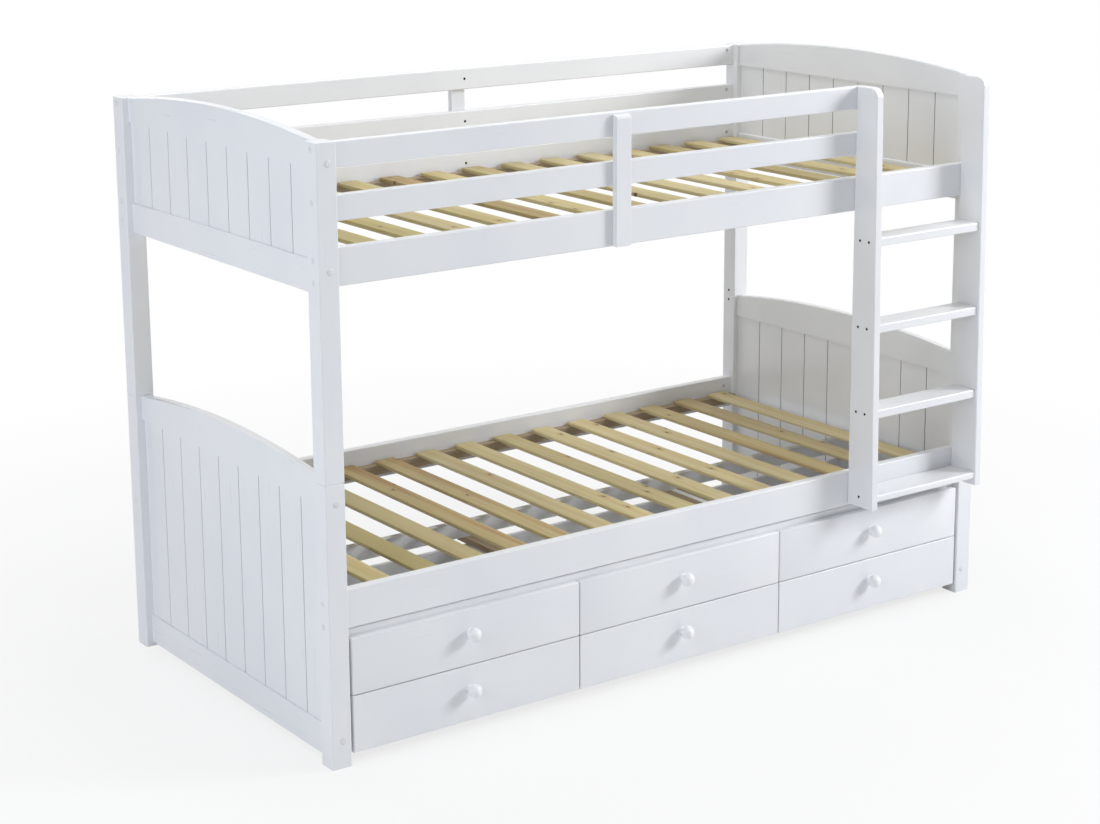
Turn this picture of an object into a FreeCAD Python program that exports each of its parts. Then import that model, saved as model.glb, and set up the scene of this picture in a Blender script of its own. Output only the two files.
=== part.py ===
import FreeCAD, Part
import math
import os

import Sketcher

# A bunk bed in white lacquered wood that splits into two single beds at a joint in its posts.
# X runs along the bed, with the ladder at the +X end. Y runs from the front (-Y) to the rear.
# Z is up. The origin is on the floor, in the middle of the space that the bed and its ladder take up.

doc = FreeCAD.newDocument("bunk_bed")
sheet = doc.addObject("Spreadsheet::Sheet", "Sizes")

DRIVING_SIZES = [
    # Overall, and the posts
    ("bed_length", 2000, "over the outer faces of the posts, for a 190 cm mattress"),
    ("bed_width", 990, "over the outer faces of the posts, for a 90 cm mattress"),
    ("lower_post_height", 662, "floor to the joint between the two beds"),
    ("upper_post_height", 750, "joint to the top of the posts"),
    ("post_side", 50, "square section of a post"),
    ("edge_round", 3, "rounded edges of posts, rails and stiles"),
    ("small_round", 2, "rounded rims of posts, and edges of uprights and drawer fronts"),
    ("dowel_radius", 6, "dowel that joins a lower and an upper post"),
    ("dowel_length", 60, "half of it in each post"),
    ("dowel_fit", 0.3, "radial clearance of a dowel in its hole"),
    # Side rails
    ("rail_recess", 12, "outer face of a side or guard rail behind the post's face"),
    ("side_rail_thick", 24, ""),
    ("lower_rail_base", 320, "floor to the lower side rail"),
    ("lower_rail_height", 91, ""),
    ("upper_rail_lift", 434, "joint to the underside of the upper side rail"),
    ("upper_rail_height", 85, ""),
    # Guard rails
    ("guard_height", 57, "height of one guard rail"),
    ("guard_thick", 22, ""),
    ("guard_gap", 58, "between the two guard rails"),
    ("guard_top_drop", 2, "guard rail below the top of the posts"),
    ("upright_width", 44, ""),
    ("upright_thick", 16, ""),
    ("upright_offset", 790, "front upright from the left end of the bed"),
    ("upright_top_drop", 6, "upright below the top of the guard rail"),
    ("upright_round", 10, "rounded outer top edge of an upright"),
    # End panels
    ("end_recess", 17, "outer face of an end rail behind the post's face"),
    ("end_rail_thick", 22, ""),
    ("end_top_height", 61, "arched rail at its ends"),
    ("lower_arch_rise", 30, ""),
    ("upper_arch_rise", 27, ""),
    ("end_bottom_height", 75, ""),
    ("lower_end_base", 10, "floor to the lower end's bottom rail"),
    ("upper_end_lift", 415, "joint to the upper end's bottom rail"),
    ("panel_thick", 12, ""),
    ("panel_slot", 10, "depth of the slot that holds the panel in each rail"),
    ("panel_fit", 0.3, "clearance of the panel in its slots and beside the posts"),
    ("board_count", 9, "boards that the grooves mark on a panel"),
    ("groove_width", 3, ""),
    ("groove_depth", 4, ""),
    # Slats
    ("slat_count", 15, ""),
    ("slat_margin", 28, "first and last slat to the end rails, when a row lies in the middle"),
    ("slat_shift", 17, "the upper row is this much towards the ladder, the lower row away from it"),
    ("slat_width", 60, ""),
    ("slat_thick", 10, ""),
    ("slat_edge", 1.5, "chamfered long edges of a slat"),
    ("slat_drop", 39, "slat top below the top of the side rail"),
    ("slat_end_gap", 5, "slat end to the side rail"),
    ("ledger_height", 25, ""),
    ("ledger_depth", 25, ""),
    # Ladder
    ("ladder_width", 396, "over the two stiles"),
    ("ladder_foot", 327, "floor to the lower end of the stiles"),
    ("stile_thick", 22, ""),
    ("stile_foot_width", 90, ""),
    ("stile_top_width", 73, ""),
    ("stile_round", 24, "rounded front corner at the top"),
    ("step_height", 363, "floor to the top of the bottom step"),
    ("step_thick", 17, ""),
    ("rung_pitch", 223, "from step to rung and from rung to rung, middle to middle"),
    ("rung_count", 3, ""),
    ("rung_thick", 22, ""),
    ("rung_setback", 7, "rung behind the front edge of the stiles"),
    ("rung_back_gap", 3, "rung in front of the rear edge of the stiles"),
    ("step_setback", 3, "bottom step behind the front edge of the stiles"),
    ("housing_depth", 6, "rungs and step let into the stiles"),
    ("housing_fit", 0.3, "clearance round a rung in its housing"),
    # Bolts
    ("bolt_radius", 3, ""),
    ("bolt_hole_radius", 3.5, ""),
    ("bolt_head_radius", 6, ""),
    ("bolt_head_height", 5, ""),
    ("counterbore_radius", 7, ""),
    ("counterbore_depth", 8, "sinks the bolt head into the post"),
    ("nut_radius", 5, ""),
    ("nut_fit", 0.3, "radial clearance of a barrel nut in its hole, and of a bolt in the nut"),
    ("nut_length", 16, ""),
    ("nut_setback", 25, "barrel nut from the end of its rail"),
    ("cap_radius", 8.5, ""),
    ("cap_height", 2, "cover over a bolt that runs across the bed, proud of the post"),
    ("plug_fit", 0.3, "radial clearance of the flush plug over a bolt that runs along the bed"),
    ("rail_bolt_drop", 25, "upper bolt below the top of a side rail"),
    ("rail_bolt_rise", 12, "lower bolt above the base of a side rail"),
    ("guard_bolt_drop", 14, "bolt below the top of a guard rail"),
    ("end_top_bolt_rise", 15, "bolt above the lower edge of an arched rail"),
    ("end_bottom_bolt_drop", 20, "bolt below the top of an end's bottom rail"),
    # Drawer unit
    ("unit_depth", 469, "face of the posts to the rear of the drawer unit"),
    ("unit_height", 303, "top of its panels"),
    ("partition_thick", 18, ""),
    ("toe_depth", 90, "the panels stand back from the front at floor level"),
    ("toe_height", 27, ""),
    ("unit_rail_thick", 20, "rear top rail"),
    ("unit_rail_height", 40, "rear top rail"),
    ("unit_rail_setback", 15, "rear top rail in front of the rear edge of the panels"),
    ("runner_width", 32, ""),
    ("runner_thick", 16, ""),
    ("runner_gap", 12.5, "side of a drawer box to the panel beside it"),
    ("kicker_gap", 2, "drawer side to the batten above it"),
    ("slide_fit", 0.3, "drawer side above its runner"),
    # Drawers
    ("columns", 3, ""),
    ("front_setback", 2, "drawer front behind the face of the posts"),
    ("front_thick", 20, ""),
    ("front_end_gap", 7.5, "drawer front to the post"),
    ("front_gap", 3, "between two drawers side by side"),
    ("row_gap", 2, "between the two rows"),
    ("front_base", 27, "floor to the lower drawer fronts"),
    ("lower_front_height", 135, ""),
    ("upper_front_height", 153, ""),
    ("front_round", 18, "rounded top edge of an upper front"),
    ("closing_gap", 0.5, "drawer front to the edge of the panels"),
    ("box_depth", 412, ""),
    ("box_height", 110, ""),
    ("box_side_thick", 12, ""),
    ("box_bottom_thick", 6, ""),
    ("box_bottom_inset", 8, "bottom above the lower edge of the sides"),
    ("box_slot_depth", 5, "slot in a side that holds the bottom"),
    ("box_fit", 0.3, "clearance of the bottom in its slots"),
    # Knobs
    ("knob_radius", 16.5, "round head"),
    ("knob_neck_radius", 7.5, ""),
    ("knob_foot_radius", 9.5, ""),
    ("knob_reach", 36.5, "front of the drawer to the top of the head"),
    ("knob_rise", 79, "above the lower edge of its drawer front"),
]


class Dim:
    """A length and the sheet expression that yields it, carried through sums together."""

    def __init__(self, value, text):
        self.value = float(value)
        self.text = text

    def __add__(self, other):
        other = as_dim(other)
        return Dim(self.value + other.value, "(" + self.text + " + " + other.text + ")")

    def __radd__(self, other):
        return as_dim(other) + self

    def __sub__(self, other):
        other = as_dim(other)
        return Dim(self.value - other.value, "(" + self.text + " - " + other.text + ")")

    def __rsub__(self, other):
        return as_dim(other) - self

    def __mul__(self, other):
        other = as_dim(other)
        return Dim(self.value * other.value, "(" + self.text + " * " + other.text + ")")

    def __rmul__(self, other):
        return as_dim(other) * self

    def __truediv__(self, other):
        other = as_dim(other)
        return Dim(self.value / other.value, "(" + self.text + " / " + other.text + ")")

    def __neg__(self):
        return Dim(-self.value, "(0 - " + self.text + ")")


def as_dim(value):
    """Turn a plain number into a Dim, and leave a Dim as it is."""
    if isinstance(value, Dim):
        return value
    return Dim(value, repr(value))


def root(value):
    """Square root of a Dim."""
    return Dim(math.sqrt(value.value), "sqrt(" + value.text + ")")


class Sizes:
    """The driving sizes by name, each one a Dim bound to its cell."""

    def __init__(self, rows):
        for number, (alias, value, meaning) in enumerate(rows, start=1):
            sheet.set("A%d" % number, alias.replace("_", " "))
            sheet.set("B%d" % number, str(value))
            sheet.setAlias("B%d" % number, alias)
            sheet.set("C%d" % number, meaning)
            setattr(self, alias, Dim(value, "Sizes." + alias))


S = Sizes(DRIVING_SIZES)
doc.recompute()

NODES = []


# ------------------------------------------------------------------ places that several pieces share

ZERO = Dim(0, "0")
LEFT = -S.bed_length / 2
RIGHT = S.bed_length / 2
LADDER_REACH = S.stile_foot_width - S.rail_recess
UPRIGHT_REACH = S.upright_thick - S.rail_recess
FRONT = (LADDER_REACH - S.bed_width - UPRIGHT_REACH) / 2
REAR = FRONT + S.bed_width
JOINT = S.lower_post_height
TOP = S.lower_post_height + S.upper_post_height

INNER_LEFT = LEFT + S.post_side
INNER_RIGHT = RIGHT - S.post_side
RAIL_LENGTH = S.bed_length - 2 * S.post_side
END_LENGTH = S.bed_width - 2 * S.post_side
RAIL_FRONT_FACE = FRONT + S.rail_recess
RAIL_REAR_FACE = REAR - S.rail_recess

LOWER_RAIL_TOP = S.lower_rail_base + S.lower_rail_height
UPPER_RAIL_BASE = JOINT + S.upper_rail_lift
UPPER_RAIL_TOP = UPPER_RAIL_BASE + S.upper_rail_height
GUARD_TOP = TOP - S.guard_top_drop
GUARD_LEVELS = (GUARD_TOP - S.guard_height, GUARD_TOP - 2 * S.guard_height - S.guard_gap)

LADDER_RIGHT = INNER_RIGHT
LADDER_LEFT = LADDER_RIGHT - S.ladder_width
STILE_HEIGHT = TOP - S.ladder_foot

FRONT_FACE = FRONT + S.front_setback
FRONT_BACK = FRONT_FACE + S.front_thick
UNIT_FRONT = FRONT_BACK + S.closing_gap
UNIT_REAR = FRONT + S.unit_depth
FRONT_WIDTH = (RAIL_LENGTH - 2 * S.front_end_gap - (S.columns - 1) * S.front_gap) / S.columns
OVERHANG = S.partition_thick / 2 + S.runner_gap - S.front_gap / 2
BOX_WIDTH = FRONT_WIDTH - 2 * OVERHANG
UPPER_BOX_TOP = S.unit_height - S.runner_thick - S.kicker_gap
UPPER_BOX_BASE = UPPER_BOX_TOP - S.box_height
LOWER_BOX_TOP = UPPER_BOX_BASE - S.slide_fit - S.runner_thick - S.kicker_gap
LOWER_BOX_BASE = LOWER_BOX_TOP - S.box_height


# ------------------------------------------------------------------ ways of making a piece

def bind(thing, prop, size):
    """Tie one property of an object to a size."""
    thing.setExpression(prop, as_dim(size).text)


def put(thing, place):
    """Tie an object's corner to a place (x, y, z)."""
    for axis, size in zip("xyz", place):
        bind(thing, "Placement.Base." + axis, size)


def node(thing, name):
    """Name an object as one sub-part of the bed."""
    thing.Label = name
    NODES.append(thing)
    return thing


def new_body(name, place):
    """An empty body whose own origin sits at a place."""
    body = doc.addObject("PartDesign::Body", name)
    body.Label = name
    put(body, place)
    return body


def new_sketch(body, role, name):
    """A sketch on one of the body's own origin planes."""
    plane = [part for part in body.Origin.OriginFeatures if part.Role == role][0]
    sketch = body.newObject("Sketcher::SketchObject", name)
    sketch.AttachmentSupport = [(plane, "")]
    sketch.MapMode = "FlatFace"
    return sketch


def fix_point(sketch, geometry, end, across, up):
    """Hold a sketch point at two distances from the sketch's origin."""
    if across.value == 0:
        sketch.addConstraint(Sketcher.Constraint("PointOnObject", geometry, end, -2))
    else:
        index = sketch.addConstraint(Sketcher.Constraint("DistanceX", -1, 1, geometry, end, across.value))
        bind(sketch, "Constraints[%d]" % index, across)
    if up.value == 0:
        sketch.addConstraint(Sketcher.Constraint("PointOnObject", geometry, end, -1))
    else:
        index = sketch.addConstraint(Sketcher.Constraint("DistanceY", -1, 1, geometry, end, up.value))
        bind(sketch, "Constraints[%d]" % index, up)


def draw_outline(sketch, points, arcs=None):
    """Close an outline through points held by sizes.

    arcs maps the number of a stretch to (radius, bulge point): that stretch is an arc of the
    radius which passes on the bulge point's side of its chord.
    """
    arcs = arcs or {}
    points = [(as_dim(across), as_dim(up)) for across, up in points]
    vectors = [FreeCAD.Vector(across.value, up.value, 0) for across, up in points]
    ends = []
    for number, start in enumerate(vectors):
        finish = vectors[(number + 1) % len(vectors)]
        if number in arcs:
            radius, bulge = arcs[number]
            geometry = sketch.addGeometry(Part.Arc(start, bulge, finish), False)
            forwards = sketch.Geometry[geometry].StartPoint.isEqual(start, 1e-6)
            ends.append((1, 2) if forwards else (2, 1))
            index = sketch.addConstraint(Sketcher.Constraint("Radius", geometry, as_dim(radius).value))
            bind(sketch, "Constraints[%d]" % index, radius)
        else:
            sketch.addGeometry(Part.LineSegment(start, finish), False)
            ends.append((1, 2))
    for number, (across, up) in enumerate(points):
        before = (number - 1) % len(points)
        join = Sketcher.Constraint("Coincident", before, ends[before][1], number, ends[number][0])
        sketch.addConstraint(join)
        fix_point(sketch, number, ends[number][0], across, up)


def pad(body, sketch, length, backwards=False):
    """Thicken a sketch by a size."""
    feature = body.newObject("PartDesign::Pad", "Pad")
    feature.Profile = sketch
    bind(feature, "Length", length)
    feature.Reversed = backwards
    sketch.Visibility = False
    doc.recompute()
    return feature


PLANE_ACROSS = {"X": "YZ_Plane", "Y": "XZ_Plane", "Z": "XY_Plane"}
DIRECTION = {
    "X": FreeCAD.Vector(1, 0, 0),
    "Y": FreeCAD.Vector(0, 1, 0),
    "Z": FreeCAD.Vector(0, 0, 1),
}
TURN = {
    "X": FreeCAD.Rotation(FreeCAD.Vector(0, 1, 0), 90),
    "Y": FreeCAD.Rotation(FreeCAD.Vector(1, 0, 0), -90),
    "Z": FreeCAD.Rotation(),
}


def long_edges(shape, run):
    """Names of the straight edges that run along an axis."""
    names = []
    for number, edge in enumerate(shape.Edges, start=1):
        if edge.Curve.TypeId != "Part::GeomLine":
            continue
        if abs(edge.tangentAt(edge.FirstParameter) * DIRECTION[run]) > 0.9999:
            names.append("Edge%d" % number)
    return names


def round_edges(body, edges, radius):
    """Round named edges of a body."""
    base = body.Tip
    feature = body.newObject("PartDesign::Fillet", "Rounding")
    feature.Base = (base, edges)
    bind(feature, "Radius", radius)
    doc.recompute()


def edges_where(shape, test):
    """Names of the edges whose two ends both pass a test."""
    names = []
    for number, edge in enumerate(shape.Edges, start=1):
        if all(test(vertex.Point) for vertex in edge.Vertexes):
            names.append("Edge%d" % number)
    return names


def side_edges(shape, thick):
    """Names of the edges round the two side faces of a piece padded along X."""
    names = []
    for side in (0, thick.value):
        names += edges_where(shape, lambda point, side=side: abs(point.x - side) < 1e-6)
    return names


def board(name, place, across, up, length, run, radius=None):
    """A board: its rectangular section is drawn, padded along its run, and its long edges rounded."""
    body = new_body(name, place)
    sketch = new_sketch(body, PLANE_ACROSS[run], "Section")
    draw_outline(sketch, [(ZERO, ZERO), (across, ZERO), (across, up), (ZERO, up)])
    pad(body, sketch, length, backwards=(run == "Y"))
    if radius is not None:
        round_edges(body, long_edges(body.Tip.Shape, run), radius)
    return body


def drill(body, place, run, radius, depth):
    """Cut a round hole into a body from a place, along an axis."""
    before = body.Shape.Volume
    hole = body.newObject("PartDesign::SubtractiveCylinder", "Bore")
    hole.Placement = FreeCAD.Placement(FreeCAD.Vector(), TURN[run])
    put(hole, place)
    bind(hole, "Radius", radius)
    bind(hole, "Height", depth)
    doc.recompute()
    if body.Shape.Volume >= before:
        raise ValueError("a hole cuts nothing from " + body.Label)


def notch(body, place, size):
    """Cut a square recess into a body."""
    before = body.Shape.Volume
    recess = body.newObject("PartDesign::SubtractiveBox", "Recess")
    put(recess, place)
    for prop, extent in zip(("Length", "Width", "Height"), size):
        bind(recess, prop, extent)
    doc.recompute()
    if body.Shape.Volume >= before:
        raise ValueError("a recess cuts nothing from " + body.Label)


def plain_box(name, place, size):
    """A square-edged piece."""
    box = doc.addObject("Part::Box", name)
    put(box, place)
    for prop, extent in zip(("Length", "Width", "Height"), size):
        bind(box, prop, extent)
    return box


def plain_rod(name, place, run, radius, length):
    """A round piece that starts at a place and runs along an axis."""
    rod = doc.addObject("Part::Cylinder", name)
    rod.Placement = FreeCAD.Placement(FreeCAD.Vector(), TURN[run])
    put(rod, place)
    bind(rod, "Radius", radius)
    bind(rod, "Height", length)
    return rod


def group(name, pieces):
    """Several separate pieces of one kind, kept apart in one sub-part."""
    family = doc.addObject("Part::Compound", name)
    family.Links = pieces
    return node(family, name)


# ------------------------------------------------------------------ bolts: one list drives every hole

class Bolt:
    """A bolt through a post into the end of a rail, with a barrel nut or screwed into the wood."""

    def __init__(self, post, rail, run, inwards, place, nut_mouth=None):
        self.post = post
        self.rail = rail
        self.run = run
        self.inwards = inwards
        self.place = place
        self.nut_mouth = nut_mouth


BOLTS = []
LONG_ENDS = (("left", 1), ("right", -1))
WIDE_ENDS = (("front", 1), ("rear", -1))
END_AXIS = {
    "left": LEFT + S.end_recess + S.end_rail_thick / 2,
    "right": RIGHT - S.end_recess - S.end_rail_thick / 2,
}
OUTER_X = {"left": LEFT, "right": RIGHT}
OUTER_Y = {"front": FRONT, "rear": REAR}


def rail_axis(edge, thick):
    """Middle plane of a side or guard rail."""
    if edge == "front":
        return RAIL_FRONT_FACE + thick / 2
    return RAIL_REAR_FACE - thick / 2


def rail_inner_face(edge, thick):
    """Face of a side or guard rail that looks at the mattress."""
    if edge == "front":
        return RAIL_FRONT_FACE + thick
    return RAIL_REAR_FACE - thick


def add_end_bolts():
    """Bolts along Y, screwed into the wood: one at each end of each rail of an end panel."""
    levels = {
        ("lower", "bottom"): S.lower_end_base + S.end_bottom_height - S.end_bottom_bolt_drop,
        ("lower", "top"): JOINT - S.end_top_height + S.end_top_bolt_rise,
        ("upper", "bottom"): JOINT + S.upper_end_lift + S.end_bottom_height - S.end_bottom_bolt_drop,
        ("upper", "top"): TOP - S.end_top_height + S.end_top_bolt_rise,
    }
    for (bed, rail), height in levels.items():
        for side, _ in LONG_ENDS:
            for edge, inwards in WIDE_ENDS:
                place = (END_AXIS[side], OUTER_Y[edge], height)
                rail_name = "%s_%s_end_%s_rail" % (bed, side, rail)
                post_name = "%s_post_%s_%s" % (bed, edge, side)
                BOLTS.append(Bolt(post_name, rail_name, "Y", inwards, place))


def add_rail_bolts():
    """Bolts along X with barrel nuts: two at each end of a side rail, one at each end of a guard rail."""
    side_rails = (
        ("lower", LOWER_RAIL_TOP - S.rail_bolt_drop),
        ("lower", S.lower_rail_base + S.rail_bolt_rise),
        ("upper", UPPER_RAIL_TOP - S.rail_bolt_drop),
        ("upper", UPPER_RAIL_BASE + S.rail_bolt_rise),
    )
    for edge, _ in WIDE_ENDS:
        for side, inwards in LONG_ENDS:
            for bed, height in side_rails:
                place = (OUTER_X[side], rail_axis(edge, S.side_rail_thick), height)
                post_name = "%s_post_%s_%s" % (bed, edge, side)
                rail_name = "%s_side_rail_%s" % (bed, edge)
                mouth = rail_inner_face(edge, S.side_rail_thick)
                BOLTS.append(Bolt(post_name, rail_name, "X", inwards, place, mouth))
            if (edge, side) == ("front", "right"):
                continue
            for number, base in enumerate(GUARD_LEVELS):
                height = base + S.guard_height - S.guard_bolt_drop
                place = (OUTER_X[side], rail_axis(edge, S.guard_thick), height)
                post_name = "upper_post_%s_%s" % (edge, side)
                rail_name = "guard_rail_%s_%d" % (edge, number + 1)
                mouth = rail_inner_face(edge, S.guard_thick)
                BOLTS.append(Bolt(post_name, rail_name, "X", inwards, place, mouth))


def along(bolt, distance):
    """Place on a bolt's axis at a distance inwards from the outer face of its post."""
    x, y, z = bolt.place
    if bolt.run == "X":
        return (x + bolt.inwards * distance, y, z)
    return (x, y + bolt.inwards * distance, z)


def low_end(bolt, start, length):
    """Corner from which a stretch of the bolt's axis runs towards +X or +Y."""
    if bolt.inwards > 0:
        return along(bolt, start)
    return along(bolt, start + length)


def local(place, origin):
    """A place in the bed's frame, seen from the origin of a piece."""
    return tuple(as_dim(size) - as_dim(base) for size, base in zip(place, origin))


def drill_post(body, origin):
    """Counterbores and bolt holes of one post."""
    for bolt in BOLTS:
        if bolt.post == body.Label:
            through = low_end(bolt, ZERO, S.post_side)
            drill(body, local(through, origin), bolt.run, S.bolt_hole_radius, S.post_side)
            seat = low_end(bolt, ZERO, S.counterbore_depth)
            drill(body, local(seat, origin), bolt.run, S.counterbore_radius, S.counterbore_depth)


def nut_start(bolt, length):
    """Low end of a stretch along Y that runs into the rail from its inner face."""
    x, _, z = along(bolt, S.post_side + S.nut_setback)
    inner = bolt.nut_mouth
    return (x, inner - length if inner.value < 0 else inner, z)


def drill_rail(body, origin, label):
    """Bolt holes in a rail's ends, and barrel nut holes in the inner face of a side or guard rail."""
    reach = S.nut_setback + S.nut_radius + S.nut_fit
    for bolt in BOLTS:
        if bolt.rail == label:
            shank = low_end(bolt, S.post_side, reach)
            drill(body, local(shank, origin), bolt.run, S.bolt_hole_radius, reach)
            if bolt.nut_mouth is not None:
                mouth = nut_start(bolt, S.nut_length)
                drill(body, local(mouth, origin), "Y", S.nut_radius + S.nut_fit, S.nut_length)


# ------------------------------------------------------------------ posts

def make_post(bed, edge, side):
    """One post: square bar, rounded rims at its joint and its top, dowel hole, holes for the bolts."""
    name = "%s_post_%s_%s" % (bed, edge, side)
    x = LEFT if side == "left" else INNER_RIGHT
    y = FRONT if edge == "front" else REAR - S.post_side
    base = ZERO if bed == "lower" else JOINT
    height = S.lower_post_height if bed == "lower" else S.upper_post_height
    origin = (x, y, base)
    body = board(name, origin, S.post_side, S.post_side, height, "Z", S.edge_round)
    rims = (height.value,) if bed == "lower" else (0.0, height.value)
    edges = []
    for level in rims:
        edges += edges_where(body.Tip.Shape, lambda point, level=level: abs(point.z - level) < 1e-6)
    round_edges(body, edges, S.small_round)
    depth = S.dowel_length / 2
    start = height - depth if bed == "lower" else ZERO
    drill(body, (S.post_side / 2, S.post_side / 2, start), "Z", S.dowel_radius + S.dowel_fit, depth)
    drill_post(body, origin)
    node(body, name)


def make_post_dowels():
    """Four dowels that stand across the joint between the two beds."""
    dowels = []
    for side, inward_x in LONG_ENDS:
        for edge, inward_y in WIDE_ENDS:
            x = OUTER_X[side] + inward_x * S.post_side / 2
            y = OUTER_Y[edge] + inward_y * S.post_side / 2
            place = (x, y, JOINT - S.dowel_length / 2)
            dowels.append(plain_rod("dowel", place, "Z", S.dowel_radius, S.dowel_length))
    group("post_dowels", dowels)


# ------------------------------------------------------------------ end panels

def panel_slot(body, base):
    """Slot along an end rail that takes the edge of the boards."""
    wide = S.panel_thick + 2 * S.panel_fit
    place = ((S.end_rail_thick - wide) / 2, ZERO, base)
    notch(body, place, (wide, END_LENGTH, S.panel_slot))


def make_arched_rail(bed, side, base, rise):
    """Top rail of an end: straight below, one arc above, from post to post."""
    name = "%s_%s_end_top_rail" % (bed, side)
    x = END_AXIS[side] - S.end_rail_thick / 2
    origin = (x, FRONT + S.post_side, base)
    body = new_body(name, origin)
    sketch = new_sketch(body, "YZ_Plane", "Arch")
    high = S.end_top_height
    radius = (END_LENGTH * END_LENGTH / 4 + rise * rise) / (2 * rise)
    crown = FreeCAD.Vector(END_LENGTH.value / 2, high.value + rise.value, 0)
    outline = [(ZERO, ZERO), (END_LENGTH, ZERO), (END_LENGTH, high), (ZERO, high)]
    draw_outline(sketch, outline, {2: (radius, crown)})
    pad(body, sketch, S.end_rail_thick)
    crest = [
        "Edge%d" % number
        for number, edge in enumerate(body.Tip.Shape.Edges, start=1)
        if edge.Curve.TypeId == "Part::GeomCircle"
    ]
    round_edges(body, crest, S.edge_round)
    panel_slot(body, ZERO)
    drill_rail(body, origin, name)
    node(body, name)


def make_bottom_rail(bed, side, base):
    """Bottom rail of an end."""
    name = "%s_%s_end_bottom_rail" % (bed, side)
    origin = (END_AXIS[side] - S.end_rail_thick / 2, FRONT + S.post_side, base)
    size = (S.end_rail_thick, S.end_bottom_height, END_LENGTH)
    body = board(name, origin, *size, "Y", S.edge_round)
    panel_slot(body, S.end_bottom_height - S.panel_slot)
    drill_rail(body, origin, name)
    node(body, name)


def make_end_boards(bed, side, low, high):
    """The panel of an end: boards marked by V grooves on both faces, let into both rails."""
    name = "%s_%s_end_boards" % (bed, side)
    width = END_LENGTH - 2 * S.panel_fit
    base = low - S.panel_slot + S.panel_fit
    tall = high - low + 2 * S.panel_slot - 2 * S.panel_fit
    origin = (END_AXIS[side] - S.panel_thick / 2, FRONT + S.post_side + S.panel_fit, base)
    count = int(S.board_count.value)
    valleys = [width * number / S.board_count for number in range(1, count)]
    outer = []
    inner = []
    for middle in valleys:
        outer.append((ZERO, middle - S.groove_width / 2))
        outer.append((S.groove_depth, middle))
        outer.append((ZERO, middle + S.groove_width / 2))
        inner.append((S.panel_thick, middle - S.groove_width / 2))
        inner.append((S.panel_thick - S.groove_depth, middle))
        inner.append((S.panel_thick, middle + S.groove_width / 2))
    outline = [(ZERO, ZERO), (S.panel_thick, ZERO)] + inner
    outline += [(S.panel_thick, width), (ZERO, width)] + outer[::-1]
    body = new_body(name, origin)
    sketch = new_sketch(body, "XY_Plane", "Boards")
    draw_outline(sketch, outline)
    pad(body, sketch, tall)
    node(body, name)


def make_end(bed, side):
    """One end: bottom rail, boards, arched top rail."""
    if bed == "lower":
        base, crown, rise = S.lower_end_base, JOINT, S.lower_arch_rise
    else:
        base, crown, rise = JOINT + S.upper_end_lift, TOP, S.upper_arch_rise
    make_bottom_rail(bed, side, base)
    make_end_boards(bed, side, base + S.end_bottom_height, crown - S.end_top_height)
    make_arched_rail(bed, side, crown - S.end_top_height, rise)


# ------------------------------------------------------------------ side rails, guard rails, slats

def make_side_rail(bed, edge):
    """One long rail between two posts."""
    name = "%s_side_rail_%s" % (bed, edge)
    base = S.lower_rail_base if bed == "lower" else UPPER_RAIL_BASE
    height = S.lower_rail_height if bed == "lower" else S.upper_rail_height
    y = rail_axis(edge, S.side_rail_thick) - S.side_rail_thick / 2
    origin = (INNER_LEFT, y, base)
    body = board(name, origin, S.side_rail_thick, height, RAIL_LENGTH, "X", S.edge_round)
    drill_rail(body, origin, name)
    node(body, name)


def make_guard_rails(edge):
    """Two guard rails: the front pair ends behind the ladder's left stile."""
    length = RAIL_LENGTH
    if edge == "front":
        length = LADDER_LEFT + S.stile_thick - INNER_LEFT
    y = rail_axis(edge, S.guard_thick) - S.guard_thick / 2
    rails = []
    for number, base in enumerate(GUARD_LEVELS, start=1):
        label = "guard_rail_%s_%d" % (edge, number)
        origin = (INNER_LEFT, y, base)
        body = board(label, origin, S.guard_thick, S.guard_height, length, "X", S.edge_round)
        drill_rail(body, origin, label)
        rails.append(body)
    group("guard_rails_" + edge, rails)


def make_guard_uprights():
    """The upright outside each pair of guard rails, with a rounded outer top edge."""
    height = GUARD_TOP - S.upright_top_drop - UPPER_RAIL_BASE
    thick = S.upright_thick
    curve = S.upright_round
    slope = curve.value * (1 - math.sqrt(0.5))
    uprights = []
    for edge, _ in WIDE_ENDS:
        if edge == "front":
            origin = (LEFT + S.upright_offset, RAIL_FRONT_FACE - thick, UPPER_RAIL_BASE)
            corner = (thick, height)
            outline = [(ZERO, ZERO), (thick, ZERO), corner, (curve, height), (ZERO, height - curve)]
            bulge = FreeCAD.Vector(slope, height.value - slope, 0)
            arcs = {3: (curve, bulge)}
        else:
            origin = (-S.upright_width / 2, RAIL_REAR_FACE, UPPER_RAIL_BASE)
            corner = (thick, height - curve)
            outline = [(ZERO, ZERO), (thick, ZERO), corner, (thick - curve, height), (ZERO, height)]
            bulge = FreeCAD.Vector(thick.value - slope, height.value - slope, 0)
            arcs = {2: (curve, bulge)}
        body = new_body("upright_" + edge, origin)
        sketch = new_sketch(body, "YZ_Plane", "Side")
        draw_outline(sketch, outline, arcs)
        pad(body, sketch, S.upright_width)
        round_edges(body, side_edges(body.Tip.Shape, S.upright_width), S.small_round)
        uprights.append(body)
    group("guard_uprights", uprights)


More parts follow.
